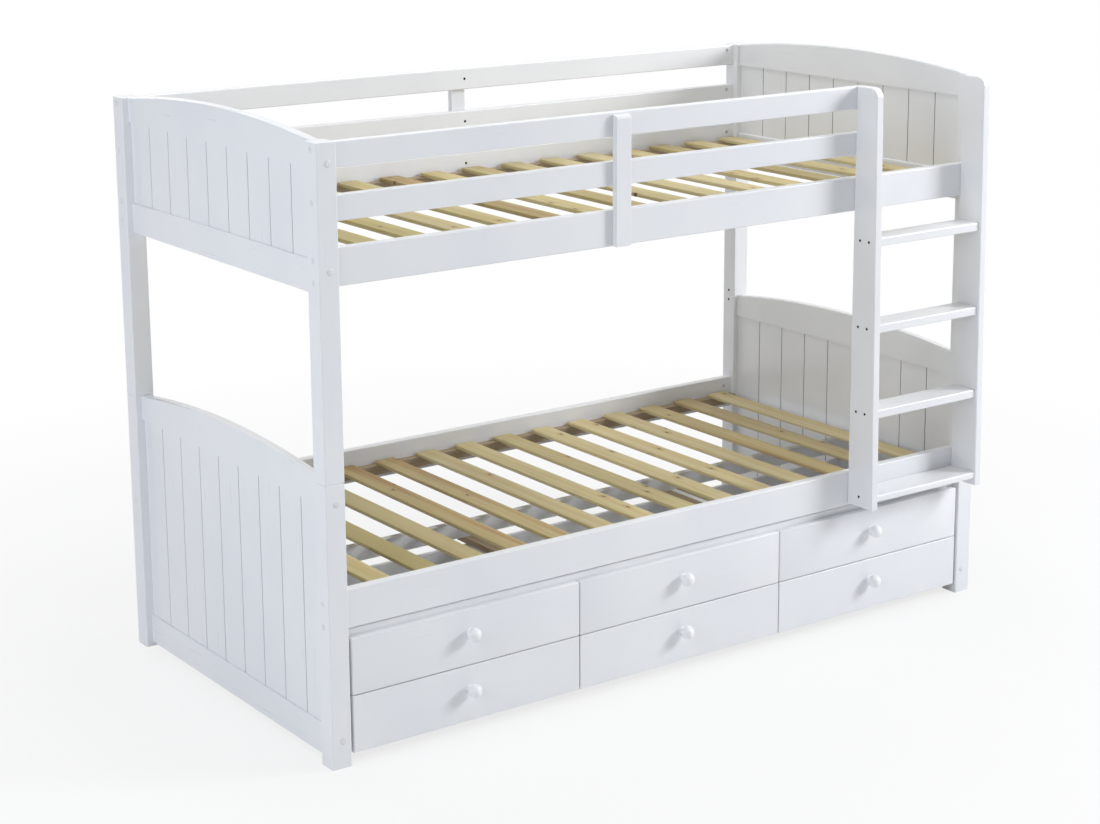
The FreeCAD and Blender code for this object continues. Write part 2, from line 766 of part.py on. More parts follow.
def make_slats(bed, rail_top, shift):
    """A row of slats with chamfered long edges, laid across the bed by a pattern."""
    name = "slats_" + bed
    length = S.bed_width - 2 * (S.rail_recess + S.side_rail_thick + S.slat_end_gap)
    clear = S.bed_length - 2 * (S.end_recess + S.end_rail_thick)
    span = clear - 2 * S.slat_margin - S.slat_width
    x = shift - span / 2 - S.slat_width / 2
    y = RAIL_FRONT_FACE + S.side_rail_thick + S.slat_end_gap
    base = rail_top - S.slat_drop - S.slat_thick
    body = new_body(name, (x, y, base))
    body.AllowCompound = True
    sketch = new_sketch(body, "XZ_Plane", "Section")
    wide, thick, cut = S.slat_width, S.slat_thick, S.slat_edge
    outline = [
        (cut, ZERO), (wide - cut, ZERO), (wide, cut), (wide, thick - cut),
        (wide - cut, thick), (cut, thick), (ZERO, thick - cut), (ZERO, cut),
    ]
    draw_outline(sketch, outline)
    slat = pad(body, sketch, length, backwards=True)
    row = body.newObject("PartDesign::LinearPattern", "Row")
    row.Originals = [slat]
    lengthwise = [part for part in body.Origin.OriginFeatures if part.Role == "X_Axis"][0]
    row.Direction = (lengthwise, [""])
    bind(row, "Length", span)
    bind(row, "Occurrences", S.slat_count)
    body.Tip = row
    doc.recompute()
    node(body, name)


def make_slat_ledgers():
    """Battens inside the side rails that the slats lie on."""
    ledgers = []
    for rail_top in (LOWER_RAIL_TOP, UPPER_RAIL_TOP):
        base = rail_top - S.slat_drop - S.slat_thick - S.ledger_height
        size = (RAIL_LENGTH, S.ledger_depth, S.ledger_height)
        near = RAIL_FRONT_FACE + S.side_rail_thick
        far = RAIL_REAR_FACE - S.side_rail_thick - S.ledger_depth
        ledgers.append(plain_box("ledger", (INNER_LEFT, near, base), size))
        ledgers.append(plain_box("ledger", (INNER_LEFT, far, base), size))
    group("slat_ledgers", ledgers)


# ------------------------------------------------------------------ ladder

def stile_front(height):
    """Front edge of a stile at a height above the floor: it slants back evenly towards the top."""
    slant = (S.stile_foot_width - S.stile_top_width) / STILE_HEIGHT
    return RAIL_FRONT_FACE - S.stile_foot_width + slant * (height - S.ladder_foot)


RUNG_MIDDLES = [
    S.step_height - S.step_thick / 2 + S.rung_pitch * number
    for number in range(1, int(S.rung_count.value) + 1)
]
CLEAR_WIDTH = S.ladder_width - 2 * S.stile_thick
TREAD_LENGTH = CLEAR_WIDTH + 2 * S.housing_depth - 2 * S.housing_fit
TREAD_LEFT = LADDER_LEFT + S.stile_thick - S.housing_depth + S.housing_fit


def tread_sections():
    """Front, base, depth and thickness of each rung, and of the bottom step last."""
    sections = []
    for middle in RUNG_MIDDLES:
        front = stile_front(middle) + S.rung_setback
        depth = RAIL_FRONT_FACE - S.rung_back_gap - front
        sections.append((front, middle - S.rung_thick / 2, depth, S.rung_thick))
    front = stile_front(S.step_height) + S.step_setback
    depth = RAIL_FRONT_FACE - S.housing_fit - front
    sections.append((front, S.step_height - S.step_thick, depth, S.step_thick))
    return sections


def make_stile(side):
    """One stile: straight behind, slanting in front, rounded at the top, housed for the treads."""
    name = "ladder_stile_" + side
    x = LADDER_LEFT if side == "left" else LADDER_RIGHT - S.stile_thick
    origin = (x, RAIL_FRONT_FACE - S.stile_foot_width, S.ladder_foot)
    body = new_body(name, origin)
    sketch = new_sketch(body, "YZ_Plane", "Side")
    slant = (S.stile_foot_width - S.stile_top_width) / STILE_HEIGHT
    curve = S.stile_round
    tangent = slant * (STILE_HEIGHT - curve)
    outline = [
        (ZERO, ZERO), (S.stile_foot_width, ZERO), (S.stile_foot_width, STILE_HEIGHT),
        (tangent + curve, STILE_HEIGHT), (tangent, STILE_HEIGHT - curve),
    ]
    slope = curve.value * (1 - math.sqrt(0.5))
    bulge = FreeCAD.Vector(tangent.value + slope, STILE_HEIGHT.value - slope, 0)
    draw_outline(sketch, outline, {3: (curve, bulge)})
    pad(body, sketch, S.stile_thick)
    round_edges(body, side_edges(body.Tip.Shape, S.stile_thick), S.edge_round)
    recess_x = S.stile_thick - S.housing_depth if side == "left" else ZERO
    for front, base, depth, thick in tread_sections():
        place = (recess_x, front - origin[1] - S.housing_fit, base - S.ladder_foot - S.housing_fit)
        notch(body, place, (S.housing_depth, depth + 3 * S.housing_fit, thick + 2 * S.housing_fit))
    node(body, name)


def make_treads():
    """Three rungs in one family, and the deep step at the bottom."""
    treads = []
    for front, base, depth, thick in tread_sections():
        place = (TREAD_LEFT, front, base)
        treads.append(board("tread", place, depth, thick, TREAD_LENGTH, "X", S.edge_round))
    step = treads.pop()
    group("ladder_rungs", treads)
    node(step, "ladder_step")


# ------------------------------------------------------------------ bolts, nuts and covers

def make_hardware():
    """For each place in the list a bolt and its cover, and a barrel nut where there is one."""
    bolts = []
    nuts = []
    caps = []
    plugs = []
    shank = S.post_side - S.counterbore_depth + S.nut_setback + S.nut_radius
    for bolt in BOLTS:
        head_start = S.counterbore_depth - S.bolt_head_height
        head = plain_rod("head", low_end(bolt, head_start, S.bolt_head_height), bolt.run,
                         S.bolt_head_radius, S.bolt_head_height)
        stem = plain_rod("shank", low_end(bolt, S.counterbore_depth, shank), bolt.run, S.bolt_radius, shank)
        whole = doc.addObject("Part::Fuse", "bolt")
        whole.Base = head
        whole.Tool = stem
        bolts.append(whole)
        if bolt.nut_mouth is None:
            caps.append(plain_rod("cap", low_end(bolt, -S.cap_height, S.cap_height), bolt.run,
                                  S.cap_radius, S.cap_height))
            continue
        plugs.append(plain_rod("plug", low_end(bolt, ZERO, head_start), bolt.run,
                               S.counterbore_radius - S.plug_fit, head_start))
        barrel = plain_rod("barrel", nut_start(bolt, S.nut_length), "Y", S.nut_radius, S.nut_length)
        bore_start = low_end(bolt, S.post_side + S.nut_setback - S.nut_radius, 2 * S.nut_radius)
        bore = plain_rod("bore", bore_start, bolt.run, S.bolt_radius + S.nut_fit, 2 * S.nut_radius)
        nut = doc.addObject("Part::Cut", "nut")
        nut.Base = barrel
        nut.Tool = bore
        nuts.append(nut)
    group("rail_bolts", bolts)
    group("barrel_nuts", nuts)
    group("bolt_caps", caps)
    group("bolt_plugs", plugs)


# ------------------------------------------------------------------ drawer unit

END_SIDE_THICK = S.front_end_gap + OVERHANG - S.runner_gap


def partition_middle(number):
    """Middle plane of a partition: the gap between two columns of fronts."""
    return INNER_LEFT + S.front_end_gap + number * (FRONT_WIDTH + S.front_gap) - S.front_gap / 2


def unit_panels():
    """Low x and thickness of each upright panel, from left to right."""
    panels = [(INNER_LEFT, END_SIDE_THICK)]
    for number in range(1, int(S.columns.value)):
        panels.append((partition_middle(number) - S.partition_thick / 2, S.partition_thick))
    panels.append((INNER_RIGHT - END_SIDE_THICK, END_SIDE_THICK))
    return panels


def make_unit_panels():
    """Upright panels between the drawers, cut back at floor level in front."""
    deep = UNIT_REAR - UNIT_FRONT
    outline = [
        (ZERO, S.toe_height), (S.toe_depth, S.toe_height), (S.toe_depth, ZERO),
        (deep, ZERO), (deep, S.unit_height), (ZERO, S.unit_height),
    ]
    pieces = []
    for x, thick in unit_panels():
        body = new_body("unit_panel", (x, UNIT_FRONT, ZERO))
        sketch = new_sketch(body, "YZ_Plane", "Side")
        draw_outline(sketch, outline)
        pad(body, sketch, thick)
        pieces.append(body)
    group("drawer_unit_panels", pieces)


def make_unit_rails():
    """A front rail under the slat ledger and a rear rail, both lying on the panels."""
    ledger_base = LOWER_RAIL_TOP - S.slat_drop - S.slat_thick - S.ledger_height
    front_y = RAIL_FRONT_FACE + S.side_rail_thick
    front_size = (RAIL_LENGTH, S.ledger_depth, ledger_base - S.unit_height)
    front = plain_box("front_rail", (INNER_LEFT, front_y, S.unit_height), front_size)
    rear_place = (INNER_LEFT, UNIT_REAR - S.unit_rail_setback - S.unit_rail_thick, S.unit_height)
    rear = plain_box("rear_rail", rear_place, (RAIL_LENGTH, S.unit_rail_thick, S.unit_rail_height))
    group("drawer_unit_rails", [front, rear])


def make_runners():
    """Battens on the panels: the drawers ride on the lower two levels, the top one holds them down."""
    tops = (
        LOWER_BOX_BASE - S.slide_fit,
        UPPER_BOX_BASE - S.slide_fit,
        S.unit_height,
    )
    panels = unit_panels()
    size = (S.runner_width, UNIT_REAR - UNIT_FRONT, S.runner_thick)
    runners = []
    for number, (x, thick) in enumerate(panels):
        for top in tops:
            if number > 0:
                place = (x - S.runner_width, UNIT_FRONT, top - S.runner_thick)
                runners.append(plain_box("runner", place, size))
            if number < len(panels) - 1:
                place = (x + thick, UNIT_FRONT, top - S.runner_thick)
                runners.append(plain_box("runner", place, size))
    group("drawer_runners", runners)


# ------------------------------------------------------------------ drawers

def make_drawer_front(name, x, base, height, rounded):
    """A drawer front: the upper row has a generously rounded top edge."""
    body = new_body(name, (x, FRONT_FACE, base))
    sketch = new_sketch(body, "YZ_Plane", "Section")
    if rounded:
        curve = S.front_round
        slope = curve.value * (1 - math.sqrt(0.5))
        bulge = FreeCAD.Vector(slope, height.value - slope, 0)
        outline = [
            (ZERO, ZERO), (S.front_thick, ZERO), (S.front_thick, height),
            (curve, height), (ZERO, height - curve),
        ]
        draw_outline(sketch, outline, {3: (curve, bulge)})
    else:
        draw_outline(sketch, [(ZERO, ZERO), (S.front_thick, ZERO), (S.front_thick, height), (ZERO, height)])
    pad(body, sketch, FRONT_WIDTH)
    shape = body.Tip.Shape
    if rounded:
        reach = S.front_round.value
        level = (height - S.front_round).value
        tangent = edges_where(shape, lambda point: abs(point.z - level) < 1e-6)
        near = edges_where(shape, lambda point: point.y < reach - 1e-6)
        face = [edge for edge in near if edge not in tangent]
        face += [
            "Edge%d" % number
            for number, edge in enumerate(shape.Edges, start=1)
            if edge.Curve.TypeId == "Part::GeomCircle"
        ]
    else:
        face = edges_where(shape, lambda point: point.y < 1e-6)
    round_edges(body, face, S.small_round)
    node(body, name)


def make_drawer_box(name, x, base):
    """Two sides slotted for the bottom, a back that stands on the bottom, and the bottom itself."""
    thick = S.box_side_thick
    bottom_base = base + S.box_bottom_inset
    slot_wide = S.box_slot_depth
    slot_low = bottom_base - S.box_fit
    slot_tall = S.box_bottom_thick + 2 * S.box_fit
    sides = []
    for side_x, slot_x in ((x, x + thick - slot_wide), (x + BOX_WIDTH - thick, x + BOX_WIDTH - thick)):
        plank = plain_box("plank", (side_x, FRONT_BACK, base), (thick, S.box_depth, S.box_height))
        slot = plain_box("slot", (slot_x, FRONT_BACK, slot_low), (slot_wide, S.box_depth, slot_tall))
        side = doc.addObject("Part::Cut", "drawer_side")
        side.Base = plank
        side.Tool = slot
        sides.append(side)
    inner = BOX_WIDTH - 2 * thick
    back_base = bottom_base + S.box_bottom_thick
    back_place = (x + thick, FRONT_BACK + S.box_depth - thick, back_base)
    back = plain_box("drawer_back", back_place, (inner, thick, base + S.box_height - back_base))
    reach = slot_wide - S.box_fit
    bottom_place = (x + thick - reach, FRONT_BACK, bottom_base)
    bottom = plain_box("drawer_bottom", bottom_place, (inner + 2 * reach, S.box_depth, S.box_bottom_thick))
    group(name, sides + [back, bottom])


def make_knob(name, x, height):
    """A turned knob: a flared neck and a ball, made by one revolved outline."""
    body = new_body(name, (x, FRONT_FACE, height))
    body.Placement = FreeCAD.Placement(FreeCAD.Vector(), FreeCAD.Rotation(FreeCAD.Vector(1, 0, 0), 90))
    put(body, (x, FRONT_FACE, height))
    sketch = new_sketch(body, "XZ_Plane", "Half_section")
    centre = S.knob_reach - S.knob_radius
    meet = centre - root(S.knob_radius * S.knob_radius - S.knob_neck_radius * S.knob_neck_radius)
    outline = [(ZERO, ZERO), (S.knob_foot_radius, ZERO), (S.knob_neck_radius, meet), (ZERO, S.knob_reach)]
    bulge = FreeCAD.Vector(S.knob_radius.value, centre.value, 0)
    draw_outline(sketch, outline, {2: (S.knob_radius, bulge)})
    turned = body.newObject("PartDesign::Revolution", "Turned")
    turned.Profile = sketch
    turned.ReferenceAxis = (sketch, ["V_Axis"])
    turned.Angle = 360
    sketch.Visibility = False
    doc.recompute()
    node(body, name)


def make_drawer(row, number):
    """One drawer: front, box and knob."""
    position = "%s_%d" % (row, number + 1)
    x = INNER_LEFT + S.front_end_gap + number * (FRONT_WIDTH + S.front_gap)
    if row == "lower":
        base, height, box_base = S.front_base, S.lower_front_height, LOWER_BOX_BASE
    else:
        base = S.front_base + S.lower_front_height + S.row_gap
        height, box_base = S.upper_front_height, UPPER_BOX_BASE
    make_drawer_front("drawer_front_" + position, x, base, height, row == "upper")
    make_drawer_box("drawer_box_" + position, x + OVERHANG, box_base)
    make_knob("drawer_knob_" + position, x + FRONT_WIDTH / 2, base + S.knob_rise)


# ------------------------------------------------------------------ the whole bed

def build_bed():
    """Make every sub-part."""
    add_end_bolts()
    add_rail_bolts()
    for bed in ("lower", "upper"):
        for edge, _ in WIDE_ENDS:
            for side, _ in LONG_ENDS:
                make_post(bed, edge, side)
            make_side_rail(bed, edge)
        for side, _ in LONG_ENDS:
            make_end(bed, side)
    for edge, _ in WIDE_ENDS:
        make_guard_rails(edge)
    make_guard_uprights()
    make_post_dowels()
    make_slats("lower", LOWER_RAIL_TOP, -S.slat_shift)
    make_slats("upper", UPPER_RAIL_TOP, S.slat_shift)
    make_slat_ledgers()
    for side, _ in LONG_ENDS:
        make_stile(side)
    make_treads()
    make_hardware()
    make_unit_panels()
    make_unit_rails()
    make_runners()
    for row in ("lower", "upper"):
        for number in range(int(S.columns.value)):
            make_drawer(row, number)


def check_document():
    """Stop if any object failed or any sub-part has no sound shape."""
    doc.recompute()
    for thing in doc.Objects:
        if "Invalid" in thing.State or "Error" in thing.State:
            raise ValueError("failed object: " + thing.Name)
    for thing in NODES:
        if thing.Shape.isNull() or not thing.Shape.isValid():
            raise ValueError("unsound shape: " + thing.Label)


def write_parts():
    """Write each sub-part to its own file."""
    os.makedirs("parts", exist_ok=True)
    for thing in NODES:
        thing.Shape.exportStep("parts/" + thing.Label + ".step")


build_bed()
check_document()
write_parts()
print("sub-parts:", len(NODES))
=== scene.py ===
"""Looks of a white lacquered bunk bed with drawers and a ladder, built round its fixed frame."""

import logging
import math
from dataclasses import dataclass, field
from enum import Enum

import bpy
import numpy as np
from mathutils import Euler, Matrix, Vector


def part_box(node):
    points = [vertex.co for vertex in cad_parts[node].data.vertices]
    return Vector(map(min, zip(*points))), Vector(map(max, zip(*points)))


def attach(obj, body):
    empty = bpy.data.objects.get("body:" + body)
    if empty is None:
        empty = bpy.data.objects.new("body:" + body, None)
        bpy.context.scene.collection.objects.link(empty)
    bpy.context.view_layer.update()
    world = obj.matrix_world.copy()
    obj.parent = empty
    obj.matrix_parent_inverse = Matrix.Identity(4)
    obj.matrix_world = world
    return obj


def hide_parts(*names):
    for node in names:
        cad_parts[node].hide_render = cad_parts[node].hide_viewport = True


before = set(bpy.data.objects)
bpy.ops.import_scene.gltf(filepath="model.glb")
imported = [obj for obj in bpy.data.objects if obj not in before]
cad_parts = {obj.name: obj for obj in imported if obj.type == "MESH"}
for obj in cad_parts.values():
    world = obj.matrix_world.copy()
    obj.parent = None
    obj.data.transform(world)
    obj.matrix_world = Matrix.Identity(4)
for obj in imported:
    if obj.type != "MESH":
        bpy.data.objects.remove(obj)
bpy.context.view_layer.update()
LOG = logging.getLogger("bunk_bed")
BODY = "bed_frame"

Node = bpy.types.Node
Piece = bpy.types.Object
Finish = bpy.types.Material
# A socket is a node with one of its outputs; a value is a socket or a number.
Socket = tuple[Node, int | str]
Value = Socket | float
Colour = tuple[float, float, float, float]
Tint = Socket | Colour
Range = tuple[float, float]
Outline = tuple[np.ndarray, np.ndarray]  # points or places, and their directions
Shape = tuple[np.ndarray, list]  # points and faces

UNIT = (0.0, 1.0)
NOISE = (0.3, 0.7)  # where nearly all of a noise's values lie
MILLIMETRES = 1000  # in a metre
SHARP_EDGE = math.radians(38)
END_STEPS = 4  # points round the arris at a board's end
SLAT_COUNT = 15
SLAT_WIDTH = 0.060


# -------- finishes

class Grain(Enum):
    """Direction in which the wood of a board runs, as stretches of the grain pattern per metre."""

    ALONG_X = (5.0, 150.0, 150.0)
    ALONG_Y = (150.0, 5.0, 150.0)
    ALONG_Z = (150.0, 150.0, 5.0)


class NodeCanvas:
    """A new material's node tree, with short calls to add and join nodes."""

    def __init__(self, name: str) -> None:
        """Start an empty material with a principled shader.

        Args:
            name: name of the material.
        """
        self.material = bpy.data.materials.new(name)
        self.material.use_nodes = True
        self.tree = self.material.node_tree
        self.tree.nodes.clear()
        self.output = self.add("ShaderNodeOutputMaterial")
        self.shader = self.add("ShaderNodeBsdfPrincipled")
        self.join(self.shader, "BSDF", self.output, "Surface")
        self.place = (self.add("ShaderNodeTexCoord"), "Object")

    def add(self, kind: str, **settings: object) -> Node:
        """Add a node.

        Args:
            kind: Blender's name of the node.
            settings: properties of the node, such as operation.

        Returns:
            The new node.
        """
        node = self.tree.nodes.new(kind)
        for key, value in settings.items():
            setattr(node, key, value)
        return node

    def join(self, source: Node, output: int | str, target: Node, entry: int | str) -> None:
        """Join an output of one node to an input of another."""
        self.tree.links.new(source.outputs[output], target.inputs[entry])

    def feed(self, node: Node, entry: int | str, value: Value | Colour) -> None:
        """Give an input its value.

        Args:
            node: the node.
            entry: name or number of its input.
            value: a number, a colour or a socket.
        """
        if isinstance(value, tuple) and isinstance(value[0], Node):
            self.join(value[0], value[1], node, entry)
        else:
            node.inputs[entry].default_value = value

    def fill(self, node: Node, values: dict[int | str, Value | Colour]) -> None:
        """Give several inputs their values."""
        for entry, value in values.items():
            self.feed(node, entry, value)

    def math(self, operation: str, first: Value, second: Value | None = None) -> Socket:
        """Add one step of arithmetic.

        Args:
            operation: Blender's name of the step.
            first: its first value.
            second: its second, where the step takes two.

        Returns:
            The result.
        """
        node = self.add("ShaderNodeMath", operation=operation)
        self.feed(node, 0, first)
        if second is not None:
            self.feed(node, 1, second)
        return node, 0

    def plus(self, first: Value, second: Value) -> Socket:
        """Sum of two values."""
        return self.math("ADD", first, second)

    def minus(self, first: Value, second: Value) -> Socket:
        """Difference of two values."""
        return self.math("SUBTRACT", first, second)

    def times(self, first: Value, second: Value) -> Socket:
        """Product of two values."""
        return self.math("MULTIPLY", first, second)

    def vector(self, *values: Value) -> Socket:
        """Combine three values.

        Args:
            values: x, y and z.

        Returns:
            The vector.
        """
        node = self.add("ShaderNodeCombineXYZ")
        self.fill(node, dict(enumerate(values)))
        return node, 0

    def axes(self) -> Node:
        """Separate the object coordinates.

        Returns:
            A node whose outputs 0, 1 and 2 are x, y and z.
        """
        node = self.add("ShaderNodeSeparateXYZ")
        self.feed(node, 0, self.place)
        return node

    def stretched(self, scale: tuple[float, float, float]) -> Socket:
        """Stretch the object coordinates.

        Args:
            scale: stretch along x, y and z.

        Returns:
            The stretched coordinates.
        """
        node = self.add("ShaderNodeMapping")
        self.fill(node, {"Scale": scale, "Vector": self.place})
        return node, 0

    def noise(self, where: Socket, scale: float, detail: float, roughness: float = 0.5) -> Socket:
        """Add a noise.

        Args:
            where: its coordinates.
            scale: waves per metre.
            detail: number of finer waves.
            roughness: weight of the finer waves.

        Returns:
            The noise, from 0 to 1.
        """
        node = self.add("ShaderNodeTexNoise")
        self.fill(node, {"Vector": where, "Scale": scale, "Detail": detail, "Roughness": roughness})
        return node, 0

    def spread(self, value: Socket, given: Range, wanted: Range) -> Socket:
        """Map one range onto another, and hold what lies outside it at the ends.

        Args:
            value: what is mapped.
            given: the range that it has.
            wanted: the range that it gets.

        Returns:
            The mapped value.
        """
        node = self.add("ShaderNodeMapRange")
        self.feed(node, "Value", value)
        self.fill(node, dict(zip(("From Min", "From Max", "To Min", "To Max"), given + wanted)))
        return node, 0

    def blend(self, share: Value, first: Tint, second: Tint, kind: str = "MIX") -> Socket:
        """Mix two colours.

        Args:
            share: share of the second.
            first: first colour.
            second: second colour.
            kind: Blender's name of the way to mix.

        Returns:
            The mixed colour.
        """
        node = self.add("ShaderNodeMix", data_type="RGBA", blend_type=kind)
        # Inputs 6 and 7 are the two colours, and output 2 is the mixed one.
        self.fill(node, {0: share, 6: first, 7: second})
        return node, 2

    def dimmed(self, colour: Socket, share: Socket) -> Socket:
        """Multiply a colour by one number."""
        return self.blend(1.0, colour, self.vector(share, share, share), "MULTIPLY")

    def bump(self, height: Socket, strength: float, distance: float, below: Socket | None = None) -> Socket:
        """Raise the surface.

        Args:
            height: how high, from 0 to 1.
            strength: share of the relief that shows.
            distance: full height, in metres.
            below: an earlier relief under this one.

        Returns:
            The bent normal.
        """
        node = self.add("ShaderNodeBump")
        self.fill(node, {"Strength": strength, "Distance": distance, "Height": height})
        if below is not None:
            self.feed(node, "Normal", below)
        return node, 0

    def surface(self, colour: Socket, roughness: Socket, normal: Socket) -> Finish:
        """Finish the shader.

        Args:
            colour: base colour.
            roughness: roughness.
            normal: bent normal.

        Returns:
            The material.
        """
        self.fill(self.shader, {"Base Color": colour, "Roughness": roughness, "Normal": normal})
        return self.material


@dataclass(frozen=True)
class Lacquer:
    """Sprayed white lacquer over wood whose grain barely telegraphs through.

    A noise is given as scale, detail and roughness, and a relief as strength and height in metres. On a
    grooved panel, faces holds |x| of its inner and outer face, and depths where painted shade darkens its
    grooves.
    """

    name: str
    grain: Grain
    colour: Colour = (0.84, 0.85, 0.87, 1.0)
    shade: Colour = (0.80, 0.81, 0.84, 1.0)
    gloss: Range = (0.27, 0.36)
    coat: float = 0.25
    coat_gloss: float = 0.14
    cloud: Range = (2.6, 2.0)
    cloud_values: Range = (0.35, 0.65)
    fibre: tuple[float, float, float] = (1.0, 5.0, 0.62)
    fibre_tint: Range = (0.992, 1.0)
    fibre_relief: Range = (0.02, 0.00008)
    peel: Range = (420.0, 1.0)
    peel_relief: Range = (0.05, 0.00008)
    faces: Range | None = None
    # painted shade at the bottom of a panel's grooves
    groove_shade: Colour = (0.16, 0.16, 0.165, 1.0)
    depths: Range = (0.0004, 0.0014)

    def shade_grooves(self, canvas: NodeCanvas, colour: Socket) -> Socket:
        """Paint shade towards the bottom of a panel's grooves: painted shade, where little light reaches.

        Depth = the smaller of |x| - inner face and outer face - |x|; the colour turns to the painted groove
        shade between the two depths.

        Args:
            canvas: the node tree.
            colour: the colour of the faces.

        Returns:
            The colour with darker grooves.
        """
        away = canvas.math("ABSOLUTE", (canvas.axes(), 0))
        inner = canvas.minus(away, self.faces[0])
        outer = canvas.minus(self.faces[1], away)
        share = canvas.spread(canvas.math("MINIMUM", inner, outer), self.depths, UNIT)
        return canvas.blend(share, colour, self.groove_shade)

    def material(self) -> Finish:
        """Build the finish.

        Colour: a mix of the colour and its shade by noise of 0.4 m, with painted shade in a grooved panel's
        grooves. Roughness: gloss spread by fine noise. Surface: a trace of grain stretched along the board,
        over a sprayed orange peel.

        Returns:
            The new material.
        """
        canvas = NodeCanvas(self.name)
        cloud = canvas.noise(canvas.place, *self.cloud)
        fibre = canvas.noise(canvas.stretched(self.grain.value), *self.fibre)
        peel = canvas.noise(canvas.place, *self.peel)
        tint = canvas.blend(canvas.spread(cloud, self.cloud_values, UNIT), self.colour, self.shade)
        paint = canvas.dimmed(tint, canvas.spread(fibre, NOISE, self.fibre_tint))
        # painted shade in the grooves of the end panels
        if self.faces:
            paint = self.shade_grooves(canvas, paint)
        relief = canvas.bump(fibre, *self.fibre_relief, canvas.bump(peel, *self.peel_relief))
        canvas.fill(canvas.shader, {"Coat Weight": self.coat, "Coat Roughness": self.coat_gloss})
        return canvas.surface(paint, canvas.spread(fibre, NOISE, self.gloss[::-1]), relief)


@dataclass(frozen=True)
class BoardPlace:
    """A point's board and its place in it: number, metres across, along and up, and the board's lots."""

    number: Socket
    side: Socket
    length: Socket
    lift: Socket
    lots: Node

    def pattern(self, canvas: NodeCanvas, scale: Range, layer: float) -> Socket:
        """Place on a flat pattern: across and along the board, each by its scale, on a layer."""
        return canvas.vector(canvas.times(self.side, scale[0]), canvas.times(self.length, scale[1]), layer)


